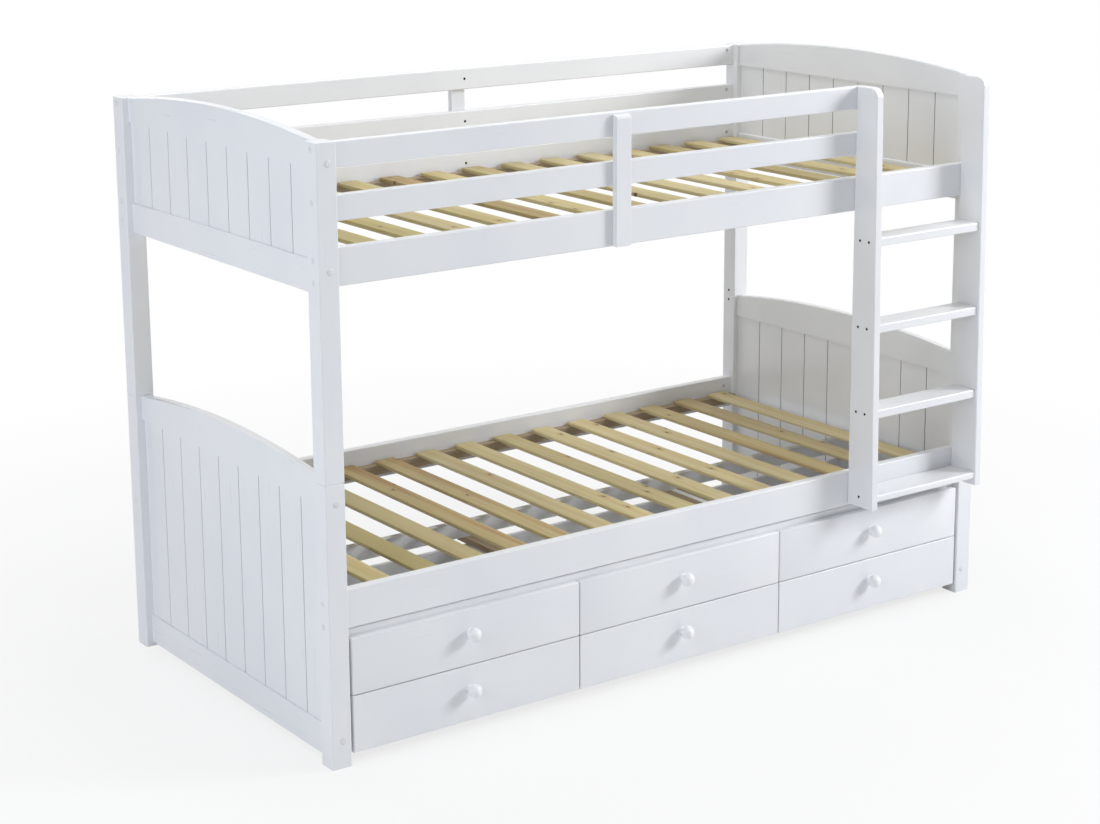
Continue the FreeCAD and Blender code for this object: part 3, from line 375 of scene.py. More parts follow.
@dataclass(frozen=True)
class Pine:
    """Planed, unfinished pine: khaki or creamy early wood, darker late wood, and a few small knots.

    Boards lie side by side in cells from start on, and run is the axis along them; brown_board is the
    number of one of the lower bunk. Scales run across and along a board, noises and reliefs as in Lacquer.
    """

    name: str
    cell: float
    start: float
    boards: float = SLAT_COUNT - 1.0
    run: int = 1
    brown_board: int = -1
    khaki: Colour = (0.44, 0.365, 0.125, 1.0)
    cream: Colour = (0.70, 0.60, 0.365, 1.0)
    late: Colour = (0.90, 0.83, 0.68, 1.0)
    heart: Colour = (0.37, 0.225, 0.08, 1.0)
    knot: Colour = (0.10, 0.045, 0.02, 1.0)
    gloss: Range = (0.52, 0.66)
    storey: float = 0.6
    lower_lift: float = 0.45  # the lower bunk's boards lie below this in their storey
    seed: float = 0.37
    log_length: float = 9.0
    # painted shade: boards near the row's start take more of the darker khaki
    row_shade_share: float = 0.55  # of the tone, by a board's place in the row
    lot_share: float = 0.45
    lot_shade: Range = (0.84, 1.08)
    pith_side: Range = (-0.035, 0.035)
    pith_depth: Range = (0.012, 0.055)
    pith_pull: Range = (-0.011, 0.011)
    pull_scale: Range = (14.0, 2.2)
    pull_layer: float = 0.5
    squash: float = 0.35
    ring_rate: float = 1450.0  # radians per metre from the pith
    ring_marks: Range = (-0.3, 1.0)
    ring_relief: Range = (0.10, 0.0003)
    fibre_scale: Range = (520.0, 9.0)
    fibre: tuple[float, float, float] = (1.0, 4.0, 0.6)
    fibre_values: Range = (0.25, 0.7)
    fibre_marks: Range = (0.35, 1.0)
    fibre_relief: Range = (0.25, 0.0004)
    heart_scale: Range = (34.0, 1.1)
    heart_layer: float = 3.5
    heart_values: Range = (0.42, 0.60)
    heart_streaks: Range = (0.25, 1.0)
    heart_lots: Range = (0.80, 0.94)
    heart_most: float = 0.8
    knot_scale: Range = (11.0, 5.0)
    knot_chance: float = 0.5
    core_reach: Range = (0.024, 0.042)
    halo_reach: Range = (0.04, 0.14)
    halo_share: float = 0.45

    def board(self, canvas: NodeCanvas) -> BoardPlace:
        """Find the board that a point is on, and the point's place in its log.

        The board's number is floor((across - start) / cell); it and the bunk's level seed white noise,
        whose three colours are the board's lots.

        Args:
            canvas: the node tree.

        Returns:
            The place.
        """
        place = canvas.axes()
        across = canvas.minus((place, 1 - self.run), self.start)
        number = canvas.math("FLOOR", canvas.math("DIVIDE", across, self.cell))
        level = canvas.math("FLOOR", canvas.math("DIVIDE", (place, 2), self.storey))
        dice = canvas.add("ShaderNodeTexWhiteNoise", noise_dimensions="3D")
        canvas.feed(dice, "Vector", canvas.vector(number, level, self.seed))
        lots = canvas.add("ShaderNodeSeparateColor")
        canvas.join(dice, "Color", lots, 0)
        side = canvas.minus(across, canvas.times(canvas.plus(number, 0.5), self.cell))
        length = canvas.plus((place, self.run), canvas.times((lots, 2), self.log_length))
        lift = canvas.minus((place, 2), canvas.times(level, self.storey))
        return BoardPlace(number, side, length, lift, lots)

    def rings(self, canvas: NodeCanvas, board: BoardPlace) -> Socket:
        """Growth rings: the sine of the distance to the log's pith, which slow noise pulls about.

        Args:
            canvas: the node tree.
            board: place in the board.

        Returns:
            The rings, from -1 to 1.
        """
        pith = canvas.spread((board.lots, 0), UNIT, self.pith_side)
        depth = canvas.spread((board.lots, 1), UNIT, self.pith_depth)
        drift = board.pattern(canvas, self.pull_scale, self.pull_layer)
        pull = canvas.spread(canvas.noise(drift, 1.0, 2.0), NOISE, self.pith_pull)
        x = canvas.plus(canvas.plus(board.side, pith), pull)
        z = canvas.plus(canvas.times(board.lift, self.squash), depth)
        square = canvas.plus(canvas.times(x, x), canvas.times(z, z))
        return canvas.math("SINE", canvas.times(canvas.math("SQRT", square), self.ring_rate))

    def heartwood(self, canvas: NodeCanvas, board: BoardPlace, body: Socket) -> Socket:
        """Lay long brown streaks on the brown board of the lower bunk, and on boards with a high lot.

        Args:
            canvas: the node tree.
            board: place in the board.
            body: the plain wood.

        Returns:
            The colour with heartwood.
        """
        band = board.pattern(canvas, self.heart_scale, self.heart_layer)
        streak = canvas.spread(canvas.noise(band, 1.0, 3.0), self.heart_values, self.heart_streaks)
        low = canvas.math("LESS_THAN", board.lift, self.lower_lift)
        named = canvas.times(canvas.math("COMPARE", board.number, self.brown_board), low)
        drawn = canvas.spread((board.lots, 1), self.heart_lots, (0.0, self.heart_most))
        brown = canvas.times(canvas.math("MAXIMUM", named, drawn), streak)
        return canvas.blend(brown, body, self.heart)

    def knots(self, canvas: NodeCanvas, board: BoardPlace, body: Socket) -> Socket:
        """Set knots at the near points of a Voronoi pattern, in half of its cells, each with a faint halo.

        Args:
            canvas: the node tree.
            board: place in the board.
            body: the plain wood.

        Returns:
            The colour with knots.
        """
        cells = canvas.add("ShaderNodeTexVoronoi", voronoi_dimensions="2D")
        canvas.fill(cells, {"Scale": 1.0, "Vector": board.pattern(canvas, self.knot_scale, 0.0)})
        chance = canvas.add("ShaderNodeSeparateColor")
        canvas.join(cells, "Color", chance, 0)
        chosen = canvas.math("GREATER_THAN", (chance, 0), self.knot_chance)
        reach = (cells, "Distance")
        core = canvas.times(canvas.spread(reach, self.core_reach, (1.0, 0.0)), chosen)
        halo = canvas.times(canvas.spread(reach, self.halo_reach, (self.halo_share, 0.0)), chosen)
        return canvas.blend(core, canvas.blend(halo, body, self.heart), self.knot)

    def material(self) -> Finish:
        """Build the finish.

        Colour: khaki to cream by the board's lot and its place in the row, times late wood on the rings,
        then heartwood, the lot's shade and knots; the place in the row is painted shade, darker near the
        row's
        start. Surface: fibre over raised rings.

        Returns:
            The new material.
        """
        canvas = NodeCanvas(self.name)
        board = self.board(canvas)
        rings = self.rings(canvas, board)
        fine, coarse = self.fibre_scale
        grain = canvas.vector(
            canvas.times(board.side, fine),
            canvas.times(board.length, coarse),
            canvas.times(board.lift, fine),
        )
        fibre = canvas.noise(grain, *self.fibre)
        # painted shade: boards near the row's start get the darker khaki
        row = canvas.math("DIVIDE", canvas.math("ABSOLUTE", board.number), self.boards / self.row_shade_share)
        lot_tone_and_row_shade = canvas.plus(row, canvas.times((board.lots, 0), self.lot_share))
        body = canvas.blend(lot_tone_and_row_shade, self.khaki, self.cream)
        broken = canvas.spread(fibre, self.fibre_values, self.fibre_marks)
        mark = canvas.times(canvas.spread(rings, self.ring_marks, UNIT), broken)
        body = canvas.blend(mark, body, canvas.blend(1.0, body, self.late, "MULTIPLY"))
        body = self.heartwood(canvas, board, body)
        body = canvas.dimmed(body, canvas.spread((board.lots, 2), UNIT, self.lot_shade))
        body = self.knots(canvas, board, body)
        relief = canvas.bump(fibre, *self.fibre_relief, canvas.bump(rings, *self.ring_relief))
        return canvas.surface(body, canvas.spread(fibre, NOISE, self.gloss[::-1]), relief)


@dataclass(frozen=True)
class Fitting:
    """Metal or moulded plastic of small fittings, with fine scratches or moulding texture."""

    name: str
    colour: Colour
    metal: float
    gloss: Range
    fine: Range = (900.0, 3.0)
    cloud: Range = (90.0, 2.0)
    dulled: float = 0.86
    relief: Range = (0.12, 0.00008)

    def material(self) -> Finish:
        """Build the finish: fine noise moves both its roughness and its surface.

        Returns:
            The new material.
        """
        canvas = NodeCanvas(self.name)
        fine = canvas.noise(canvas.place, *self.fine)
        cloud = canvas.noise(canvas.place, *self.cloud)
        dark = tuple(channel * self.dulled for channel in self.colour[:3]) + (1.0,)
        tint = canvas.blend(canvas.spread(cloud, NOISE, UNIT), self.colour, dark)
        canvas.feed(canvas.shader, "Metallic", self.metal)
        return canvas.surface(tint, canvas.spread(fine, NOISE, self.gloss), canvas.bump(fine, *self.relief))


class Palette:
    """Every finish on the bed, made once."""

    # A whiter lacquer: the knobs' own whiter paint, and on the top strip painted light that lifts a strip
    # lying in the side rail's shade.
    whiter_paint_and_painted_light = {"colour": (0.90, 0.905, 0.92, 1.0), "shade": (0.87, 0.88, 0.90, 1.0)}
    bays = {"cell": 0.35, "start": -1.05, "boards": 5.0}
    # Darker, browner pine for the battens and runners: painted shade, as they sit in shade under the slats
    # and in the drawer unit.
    painted_shade_pine = {"khaki": (0.33, 0.25, 0.16, 1.0), "cream": (0.42, 0.33, 0.23, 1.0)}

    def __init__(self) -> None:
        """Make the finishes."""
        self.lacquer = {
            grain: Lacquer("white_lacquer_" + grain.name.lower(), grain).material() for grain in Grain
        }
        faces = tuple(sorted(abs(corner.x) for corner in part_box("lower_left_end_boards")))
        # the end panels' lacquer, with painted shade in their grooves
        self.panel = Lacquer("white_panel_groove_shade", Grain.ALONG_Z, faces=faces).material()
        # the top strip's whiter lacquer is painted light
        self.strip = Lacquer("white_strip_painted_light", Grain.ALONG_X, **self.whiter_paint_and_painted_light).material()
        satin = {"gloss": (0.42, 0.50), "coat": 0.08}
        self.knob = Lacquer("white_knob", Grain.ALONG_Y, **self.whiter_paint_and_painted_light, **satin).material()
        low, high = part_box("slats_upper")
        cell = (high.x - low.x - SLAT_WIDTH) / (SLAT_COUNT - 1)
        start = low.x + SLAT_WIDTH / 2 - cell / 2
        self.slats = Pine("pine_slats", cell, start, brown_board=4).material()
        self.batten = Pine("pine_battens", run=0, **self.bays, **self.painted_shade_pine).material()
        self.runner = Pine("pine_runners", run=1, **self.bays, **self.painted_shade_pine).material()
        self.cap = Fitting("white_cap", (0.82, 0.83, 0.85, 1.0), 0.0, (0.36, 0.46)).material()
        self.zinc = Fitting("zinc_steel", (0.55, 0.56, 0.58, 1.0), 1.0, (0.28, 0.42)).material()
        self.screw = Fitting("dark_screw", (0.004, 0.004, 0.004, 1.0), 0.0, (0.7, 0.8)).material()


# -------- surfaces

def mesh_piece(name: str, points: np.ndarray, faces: list, finish: Finish) -> Piece:
    """Make a piece from points and faces.

    Args:
        name: name of the piece.
        points: n by 3 array, in metres.
        faces: lists of point numbers, wound so that they face outwards.
        finish: material of the piece.

    Returns:
        The new piece, smooth shaded with sharp edges kept.
    """
    mesh = bpy.data.meshes.new(name)
    mesh.from_pydata(points, [], faces)
    mesh.validate()
    mesh.materials.append(finish)
    mesh.polygons.foreach_set("use_smooth", np.ones(len(mesh.polygons), dtype=bool))
    mesh.update()
    mesh.set_sharp_from_angle(angle=SHARP_EDGE)
    piece = bpy.data.objects.new(name, mesh)
    bpy.context.scene.collection.objects.link(piece)
    return piece


def shell_faces(rings: int, around: int) -> list:
    """Faces of a closed shell: a first pole, rings of points, a last pole.

    Point 0 is the first pole, 1 + ring * around + step is a ring's point, and the last is the other pole.

    Args:
        rings: number of rings.
        around: points in a ring.

    Returns:
        Triangles at the poles and quads between, all wound the same way.
    """
    step = np.arange(around)
    after = (step + 1) % around
    start = np.column_stack([np.zeros(around, int), 1 + after, 1 + step]).tolist()
    ring = 1 + np.arange(rings - 1)[:, None] * around
    quads = np.stack([ring + step, ring + after, ring + around + after, ring + around + step], axis=-1)
    last = 1 + (rings - 1) * around
    finish = np.column_stack([last + step, last + after, np.full(around, last + around)]).tolist()
    return start + quads.reshape(-1, 4).tolist() + finish


def many_shells(shells: np.ndarray, rings: int, around: int) -> Shape:
    """Join several shells of one kind into one set of points and faces.

    Volume = a sixth of the sum over triangles of a . (b x c); where it is negative the faces turn round.

    Args:
        shells: array of shells by points by 3.
        rings: rings in a shell.
        around: points in a ring.

    Returns:
        The points and the faces, wound so that they face outwards.
    """
    faces = shell_faces(rings, around)
    solid = shells[0] - shells[0].mean(axis=0)
    halves = [[face[0], face[2], face[3]] for face in faces if len(face) == 4]
    fan = np.array([face[:3] for face in faces] + halves)
    side = np.cross(solid[fan[:, 1]], solid[fan[:, 2]])
    volume = np.einsum("ij,ij->i", solid[fan[:, 0]], side).sum()
    if volume < 0:
        faces = [face[::-1] for face in faces]
    count = shells.shape[1]
    every = [[point + number * count for point in face] for number in range(len(shells)) for face in faces]
    return shells.reshape(-1, 3), every


def turned(centres: np.ndarray, axes: np.ndarray, profile: np.ndarray, around: int) -> Shape:
    """Turn one closed profile at many places.

    point = centre + radius * (cos a * e1 + sin a * e2) + height * axis, with a from 0 to 360 degrees and
    e1, e2 square to the axis. The profile's first and last rows are the poles, with radius 0.

    Args:
        centres: k by 3 array of places.
        axes: k by 3 array of directions, each along x, y or z.
        profile: n by 2 array of radius and height.
        around: points round the axis.

    Returns:
        Points and faces of all the turned shapes.
    """
    angle = np.linspace(0.0, 2 * math.pi, around, endpoint=False)
    first = np.roll(np.abs(axes), 1, axis=1)
    second = np.cross(axes, first)
    cosine = np.cos(angle)[None, :, None]
    sine = np.sin(angle)[None, :, None]
    circle = cosine * first[:, None, :] + sine * second[:, None, :]
    inner = profile[1:-1]
    rings = (
        centres[:, None, None, :]
        + inner[None, :, None, :1] * circle[:, None, :, :]
        + inner[None, :, None, 1:] * axes[:, None, None, :]
    ).reshape(len(centres), -1, 3)
    start = (centres + profile[0, 1] * axes)[:, None, :]
    finish = (centres + profile[-1, 1] * axes)[:, None, :]
    return many_shells(np.concatenate([start, rings, finish], axis=1), len(inner), around)


def rounded_section(width: float, height: float, radius: float, steps: int) -> Outline:
    """Outline of a rectangle with rounded corners, about its centre.

    point = corner centre + radius * (cos a, sin a), with a through 90 degrees at each corner in turn.

    Args:
        width: first extent.
        height: second extent.
        radius: of the corners.
        steps: points at a corner.

    Returns:
        Points and outward normals, each n by 2.
    """
    angle = np.linspace(0.0, math.pi / 2, steps)
    turn = np.arange(4)[:, None] * math.pi / 2 + angle[None, :]
    normal = np.stack([np.cos(turn), np.sin(turn)], axis=-1)
    reach = [width / 2 - radius, height / 2 - radius]
    corner = np.array([[1, 1], [-1, 1], [-1, -1], [1, -1]], float) * reach
    return (corner[:, None, :] + radius * normal).reshape(-1, 2), normal.reshape(-1, 2)


def swept_boards(
    sections: list[Outline], lengths: np.ndarray, radius: float, stations: int
) -> tuple[np.ndarray, int, int]:
    """Carry outlines along straight runs, with every end arris rounded.

    point(s, a) = (outline(a) - inset(s) * normal(a), run(s)); near an end, with b from 0 to 90 degrees,
    inset = radius * (1 - sin b) and run = length / 2 - radius * (1 - cos b).

    Args:
        sections: outline and normals of each board.
        lengths: length of each board.
        radius: of the rounded ends.
        stations: stations between the rounded ends.

    Returns:
        Shells of (across, up, run) about each board's centre, rings and points in a ring.
    """
    bend = np.linspace(0.0, math.pi / 2, END_STEPS)
    inset = radius * (1 - np.sin(bend))
    back = radius * (1 - np.cos(bend))
    middle = np.linspace(-1.0, 1.0, stations)[1:-1]
    shells = []
    for (outline, normal), length in zip(sections, lengths):
        half = length / 2
        run = np.concatenate([-half + back, middle * (half - radius), (half - back)[::-1]])
        shrink = np.concatenate([inset, np.zeros(len(middle)), inset[::-1]])
        plane = outline[None] - shrink[:, None, None] * normal[None]
        rows = np.concatenate([plane, np.broadcast_to(run[:, None, None], plane.shape[:2] + (1,))], axis=-1)
        shells.append(np.concatenate([[[0.0, 0.0, -half]], rows.reshape(-1, 3), [[0.0, 0.0, half]]]))
    return np.array(shells), len(run), len(outline)


def board_along_x(
    name: str, low: Vector, high: Vector, arris: float, finish: Finish, steps: int = 5
) -> Piece:
    """Sweep one rounded section along x, from one corner of a board to the other.

    Args:
        name: name of the piece.
        low: lowest corner.
        high: highest corner.
        arris: radius of every edge.
        finish: material of the board.
        steps: points at an edge, and stations along the board.

    Returns:
        The board.
    """
    size = high - low
    middle = (low + high) / 2
    sections = [rounded_section(size.y, size.z, arris, steps)]
    shells, rings, around = swept_boards(sections, np.array([size.x]), arris, steps)
    points, faces = many_shells(shells[..., [2, 0, 1]] + np.array(middle), rings, around)
    return mesh_piece(name, points, faces, finish)


# -------- sub-assemblies

def dress(node: str, finish: Finish) -> None:
    """Give a carried-over piece its finish."""
    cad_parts[node].data.materials.clear()
    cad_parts[node].data.materials.append(finish)


@dataclass
class Carcass:
    """The pieces taken over from the frame: posts, rails, ends, ladder, drawers and what joins them."""

    palette: Palette
    upright: tuple[str, ...] = ("_post_", "guard_uprights", "ladder_stile", "drawer_unit_panels")
    crosswise: tuple[str, ...] = ("_end_top_rail", "_end_bottom_rail", "drawer_box")

    def grain_of(self, node: str) -> Grain:
        """Find the way that a piece's grain runs.

        Args:
            node: name of the piece.

        Returns:
            The direction.
        """
        if any(word in node for word in self.upright):
            return Grain.ALONG_Z
        if any(word in node for word in self.crosswise):
            return Grain.ALONG_Y
        return Grain.ALONG_X

    def build(self) -> None:
        """Dress every carried-over piece: white lacquer, and plain metal or wood for what is inside."""
        inner = {
            "rail_bolts": self.palette.zinc,
            "barrel_nuts": self.palette.zinc,
            "post_dowels": self.palette.batten,
            "drawer_runners": self.palette.runner,
            "slat_ledgers": self.palette.batten,
        }
        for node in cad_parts:
            white = self.palette.lacquer[self.grain_of(node)]
            # end boards take the lacquer with painted shade in their grooves
            if "_end_boards" in node:
                white = self.palette.panel
            dress(node, inner.get(node, white))


@dataclass
class SlatRow:
    """Fifteen pine slats on one bunk, each a little different from the next."""

    palette: Palette
    node: str
    seed: int
    count: int = SLAT_COUNT
    width: float = SLAT_WIDTH
    arris: float = 0.0022
    arris_steps: int = 4
    end_arris: float = 0.0012
    stations: int = 9
    narrower: float = 0.0012
    shorter: float = 0.003
    shift: float = 0.0015
    skew: float = 0.0025
    slide: float = 0.0012

    def build(self) -> Piece:
        """Sweep a rounded section for each slat, then shift, skew and slide it, each by under 2 mm.

        across' = across + shift + skew * run and run' = run + slide. The two end slats are only slid, so
        that the row keeps its length.

        Returns:
            The row of slats.
        """
        low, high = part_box(self.node)
        chance = np.random.default_rng(self.seed)
        pitch = (high.x - low.x - self.width) / (self.count - 1)
        middles = low.x + self.width / 2 + pitch * np.arange(self.count)
        thick = high.z - low.z
        widths = self.width - chance.uniform(0.0, self.narrower, self.count)
        sections = [rounded_section(width, thick, self.arris, self.arris_steps) for width in widths]
        lengths = (high.y - low.y) - chance.uniform(0.0, self.shorter, self.count)
        shells, rings, around = swept_boards(sections, lengths, self.end_arris, self.stations)
        across, up, run = np.moveaxis(shells, -1, 0)
        shift = chance.uniform(-self.shift, self.shift, self.count)[:, None]
        skew = chance.uniform(-self.skew, self.skew, self.count)[:, None]
        shift[[0, -1]] = 0.0
        skew[[0, -1]] = 0.0
        slide = chance.uniform(-self.slide, self.slide, self.count)[:, None]
        x = middles[:, None] + across + shift + skew * run
        y = (low.y + high.y) / 2 + run + slide
        z = (low.z + high.z) / 2 + up
        points, faces = many_shells(np.stack([x, y, z], axis=-1), rings, around)
        piece = mesh_piece(self.node.replace("slats", "pine_slats"), points, faces, self.palette.slats)
        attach(piece, BODY)
        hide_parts(self.node)
        return piece


@dataclass
class Covers:
    """White domed covers over the bolts of the end panels, and flush plugs over the bolts of the rails."""

    palette: Palette
    radius: float = 0.0085
    proud: float = 0.002
    rim: float = 0.25  # height of a dome's rim, as a share of the whole
    dome_steps: int = 9
    around: int = 28
    bottom_drop: float = 0.020
    top_rise: float = 0.015
    rail_drop: float = 0.025
    rail_rise: float = 0.012
    guard_drop: float = 0.014
    guard_height: float = 0.057
    # Radius and height of a plug, in millimetres.
    dish: tuple[Range, ...] = (
        (0.0, -1.2), (1.3, -1.2), (1.9, -0.9), (2.3, -0.1), (2.7, 0.0),
        (6.2, 0.0), (6.7, -0.4), (6.7, -3.0), (0.0, -3.0),
    )

    def facing(self, places: list, axis: int) -> Outline:
        """Turn places outwards along one axis.

        Args:
            places: the places.
            axis: number of the axis.

        Returns:
            The places and their directions, each n by 3.
        """
        centres = np.array(places)
        outwards = np.zeros_like(centres)
        outwards[:, axis] = np.sign(centres[:, axis])
        return centres, outwards

    def dome_places(self) -> Outline:
        """Find the places on the posts' front and rear faces, level with the end panels' rails.

        Returns:
            The places and their directions.
        """
        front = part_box("upper_post_front_left")[0].y
        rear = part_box("upper_post_rear_right")[1].y
        places = []
        for bed in ("lower", "upper"):
            for side in ("left", "right"):
                low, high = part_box(f"{bed}_{side}_end_bottom_rail")
                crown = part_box(f"{bed}_{side}_end_top_rail")[0]
                for z in (high.z - self.bottom_drop, crown.z + self.top_rise):
                    places += [((low.x + high.x) / 2, y, z) for y in (front, rear)]
        return self.facing(places, 1)

    def plug_places(self) -> Outline:
        """Find the places on the posts' outer end faces, level with the side rails and guard rails.

        Returns:
            The places and their directions.
        """
        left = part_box("upper_post_front_left")[0].x
        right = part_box("upper_post_rear_right")[1].x
        places = []
        for bed in ("lower", "upper"):
            for edge in ("front", "rear"):
                low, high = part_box(f"{bed}_side_rail_{edge}")
                for z in (low.z + self.rail_rise, high.z - self.rail_drop):
                    places += [(x, (low.y + high.y) / 2, z) for x in (left, right)]
        for edge, ends in (("rear", (left, right)), ("front", (left,))):
            low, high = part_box(f"guard_rails_{edge}")
            for z in (high.z - self.guard_drop, low.z + self.guard_height - self.guard_drop):
                places += [(x, (low.y + high.y) / 2, z) for x in ends]
        return self.facing(places, 0)

    def turn(self, name: str, node: str, where: Outline, profile: np.ndarray) -> Piece:
        """Turn one profile at many places.

        Args:
            name: name of the new piece.
            node: the plain piece that it takes the place of.
            where: places and directions.
            profile: radius and height.

        Returns:
            The new piece.
        """
        points, faces = turned(*where, profile, self.around)
        piece = mesh_piece(name, points, faces, self.palette.cap)
        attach(piece, BODY)
        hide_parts(node)
        return piece

    def build(self) -> Piece:
        """Turn flat domes, height = proud * (rim + (1 - rim) * (1 - (r / radius)^4)), and dished plugs.

        Returns:
            The plugs.
        """
        reach = np.sin(np.linspace(0.0, math.pi / 2, self.dome_steps)) * self.radius
        dome = self.proud * (self.rim + (1 - self.rim) * (1 - (reach / self.radius) ** 4))
        profile = np.concatenate([np.column_stack([reach, dome]), [[self.radius, 0.0], [0.0, 0.0]]])
        self.turn("bolt_covers", "bolt_caps", self.dome_places(), profile)
        dish = np.array(self.dish) / MILLIMETRES
        return self.turn("bolt_hole_plugs", "bolt_plugs", self.plug_places(), dish)


@dataclass
class Screws:
    """Countersunk screw heads that show on the ladder, the rear rails and the posts."""

    palette: Palette
    stile: float = 0.022
    rung: float = 0.022
    rung_backs: Range = (0.024, 0.056)
    step_back: float = 0.042
    guard_inset: float = 0.0285
    rail_inset: float = 0.028
    upright_side: float = 0.007
    joint_rise: float = 0.014
    around: int = 16
    # Radius and height of a head, in millimetres.
    head: tuple[Range, ...] = (
        (0.0, 0.10), (0.9, 0.12), (2.2, 0.28), (3.1, 0.35), (3.6, 0.22), (3.6, 0.0), (0.0, 0.0),
    )
    places: list = field(default_factory=list)

    def add(self, x: float, y: float, z: float, axis: tuple[int, int, int]) -> None:
        """Note one screw: its place on a face and the face's direction."""
        self.places.append(((x, y, z), axis))

    def find_ladder_places(self) -> None:
        """Work out the places on the stiles, level with the rungs and the step."""
        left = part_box("ladder_stile_left")[0]
        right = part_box("ladder_stile_right")[1]
        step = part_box("ladder_step")
        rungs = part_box("ladder_rungs")
        pitch = (rungs[1].z - rungs[0].z - self.rung) / 2
        for number in range(3):
            z = rungs[0].z + self.rung / 2 + pitch * number
            for back in self.rung_backs:
                self.add(left.x, right.y - back, z, (-1, 0, 0))
                self.add(right.x - self.stile, right.y - back, z, (-1, 0, 0))
                self.add(right.x, right.y - back, z, (1, 0, 0))
        self.add(left.x, right.y - self.step_back, (step[0].z + step[1].z) / 2, (-1, 0, 0))

    def find_rail_places(self) -> None:
        """Work out the places on the rear rails, where the guard's upright is, and at the posts' joints."""
        insets = {"guard_rails_rear": self.guard_inset, "upper_side_rail_rear": self.rail_inset}
        for name, inset in insets.items():
            low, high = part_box(name)
            for z in (low.z + inset, high.z - inset):
                self.add(self.upright_side, low.y, z, (0, -1, 0))
        for edge in ("front", "rear"):
            for side in ("left", "right"):
                low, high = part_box(f"lower_post_{edge}_{side}")
                x, direction = (high.x, 1) if side == "left" else (low.x, -1)
                for rise in (-self.joint_rise, self.joint_rise):
                    self.add(x, (low.y + high.y) / 2, high.z + rise, (direction, 0, 0))

    def build(self) -> Piece:
        """Turn a dished head: height falls from 0.35 mm at the rim to 0.1 mm at the centre.

        Returns:
            All the screw heads as one piece.
        """
        self.find_ladder_places()
        self.find_rail_places()
        centres = np.array([place for place, _ in self.places])
        axes = np.array([axis for _, axis in self.places], float)
        points, faces = turned(centres, axes, np.array(self.head) / MILLIMETRES, self.around)
        piece = mesh_piece("screw_heads", points, faces, self.palette.screw)
        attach(piece, BODY)
        return piece


@dataclass
class UpperFront:
    """An upper drawer's front: a flat board, as tall as the lower drawer's, with softened edges."""

    palette: Palette
    number: int
    arris: float = 0.0026

    def build(self) -> Piece:
        """Sweep the board from the foot of the plain one, to the lower front's height.

        Returns:
            The front.
        """
        node = f"drawer_front_upper_{self.number}"
        low, high = (Vector(corner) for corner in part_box(node))
        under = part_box(f"drawer_front_lower_{self.number}")
        high.z = low.z + under[1].z - under[0].z
        finish = self.palette.lacquer[Grain.ALONG_X]
        piece = board_along_x(f"flat_front_upper_{self.number}", low, high, self.arris, finish)
        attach(piece, f"drawer_upper_{self.number}")
        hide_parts(node)
        return piece


@dataclass
class TopStrip:
    """The strip of the drawer unit that shows between the upper fronts and the bed's side rail."""

    palette: Palette
    box_clear: float = 0.005
    rail_gap: float = 0.0045
    play: float = 0.0003
    arris: float = 0.001

    def build(self) -> Piece:
        """Sweep the strip from post to post, against the unit's front rail and behind the fronts.

        Returns:
            The strip.
        """
        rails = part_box("drawer_unit_rails")
        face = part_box("drawer_front_upper_1")[1].y + self.play
        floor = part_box("drawer_box_upper_1")[1].z + self.box_clear
        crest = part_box("lower_side_rail_front")[0].z - self.rail_gap
        low = Vector((rails[0].x + self.play, face, floor))
        high = Vector((rails[1].x - self.play, rails[0].y, crest))
        # the strip's whiter lacquer is painted light
        piece = board_along_x("unit_top_strip", low, high, self.arris, self.palette.strip)
        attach(piece, BODY)
        return piece


@dataclass
class Knob:
    """A turned wooden knob: a flared foot, a waisted neck and a round head."""

    palette: Palette
    position: str
    head: float = 0.0165
    neck: float = 0.0072
    foot: float = 0.0095
    stem_steps: int = 12
    head_steps: int = 30
    around: int = 56

    def build(self) -> Piece:
        """Turn the knob's outline on the axis that points out of the drawer.

        Neck: radius = neck + (foot - neck) * (1 - s)^3, with s from 0 at the drawer to 1 at the head.
        Head: radius = head * sin b, height = centre - head * cos b.

        Returns:
            The knob.
        """
        low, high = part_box("drawer_knob_" + self.position)
        reach = high.y - low.y
        centre = reach - self.head
        begin = math.asin(self.neck / self.head)
        meet = centre - self.head * math.cos(begin)
        share = np.linspace(0.0, 1.0, self.stem_steps)
        stem = np.column_stack([self.neck + (self.foot - self.neck) * (1 - share) ** 3, meet * share])
        angle = np.linspace(begin, math.pi, self.head_steps)[1:]
        ball = np.column_stack([self.head * np.sin(angle), centre - self.head * np.cos(angle)])
        ball[-1, 0] = 0.0
        profile = np.concatenate([[[0.0, 0.0]], stem, ball])
        place = np.array([[(low.x + high.x) / 2, high.y, (low.z + high.z) / 2]])
        points, faces = turned(place, np.array([[0.0, -1.0, 0.0]]), profile, self.around)
        piece = mesh_piece("knob_" + self.position, points, faces, self.palette.knob)
        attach(piece, "drawer_" + self.position)
        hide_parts("drawer_knob_" + self.position)
        return piece


# -------- studio

@dataclass(frozen=True)
class Lamp:
    """A large soft disk lamp: its place and size in metres, its watts and its colour."""

    name: str
    place: tuple[float, float, float]
    size: float
    power: float
    colour: tuple[float, float, float]

    def hang(self, aim: Vector) -> None:
        """Hang the lamp so that it faces a point.

        Args:
            aim: the point.
        """
        data = bpy.data.lights.new(self.name, "AREA")
        data.shape = "DISK"
        data.size = self.size
        data.energy = self.power
        data.color = self.colour
        lamp = bpy.data.objects.new(self.name, data)
        lamp.location = self.place
        lamp.rotation_euler = (aim - Vector(self.place)).to_track_quat("-Z", "Y").to_euler()
        bpy.context.scene.collection.objects.link(lamp)


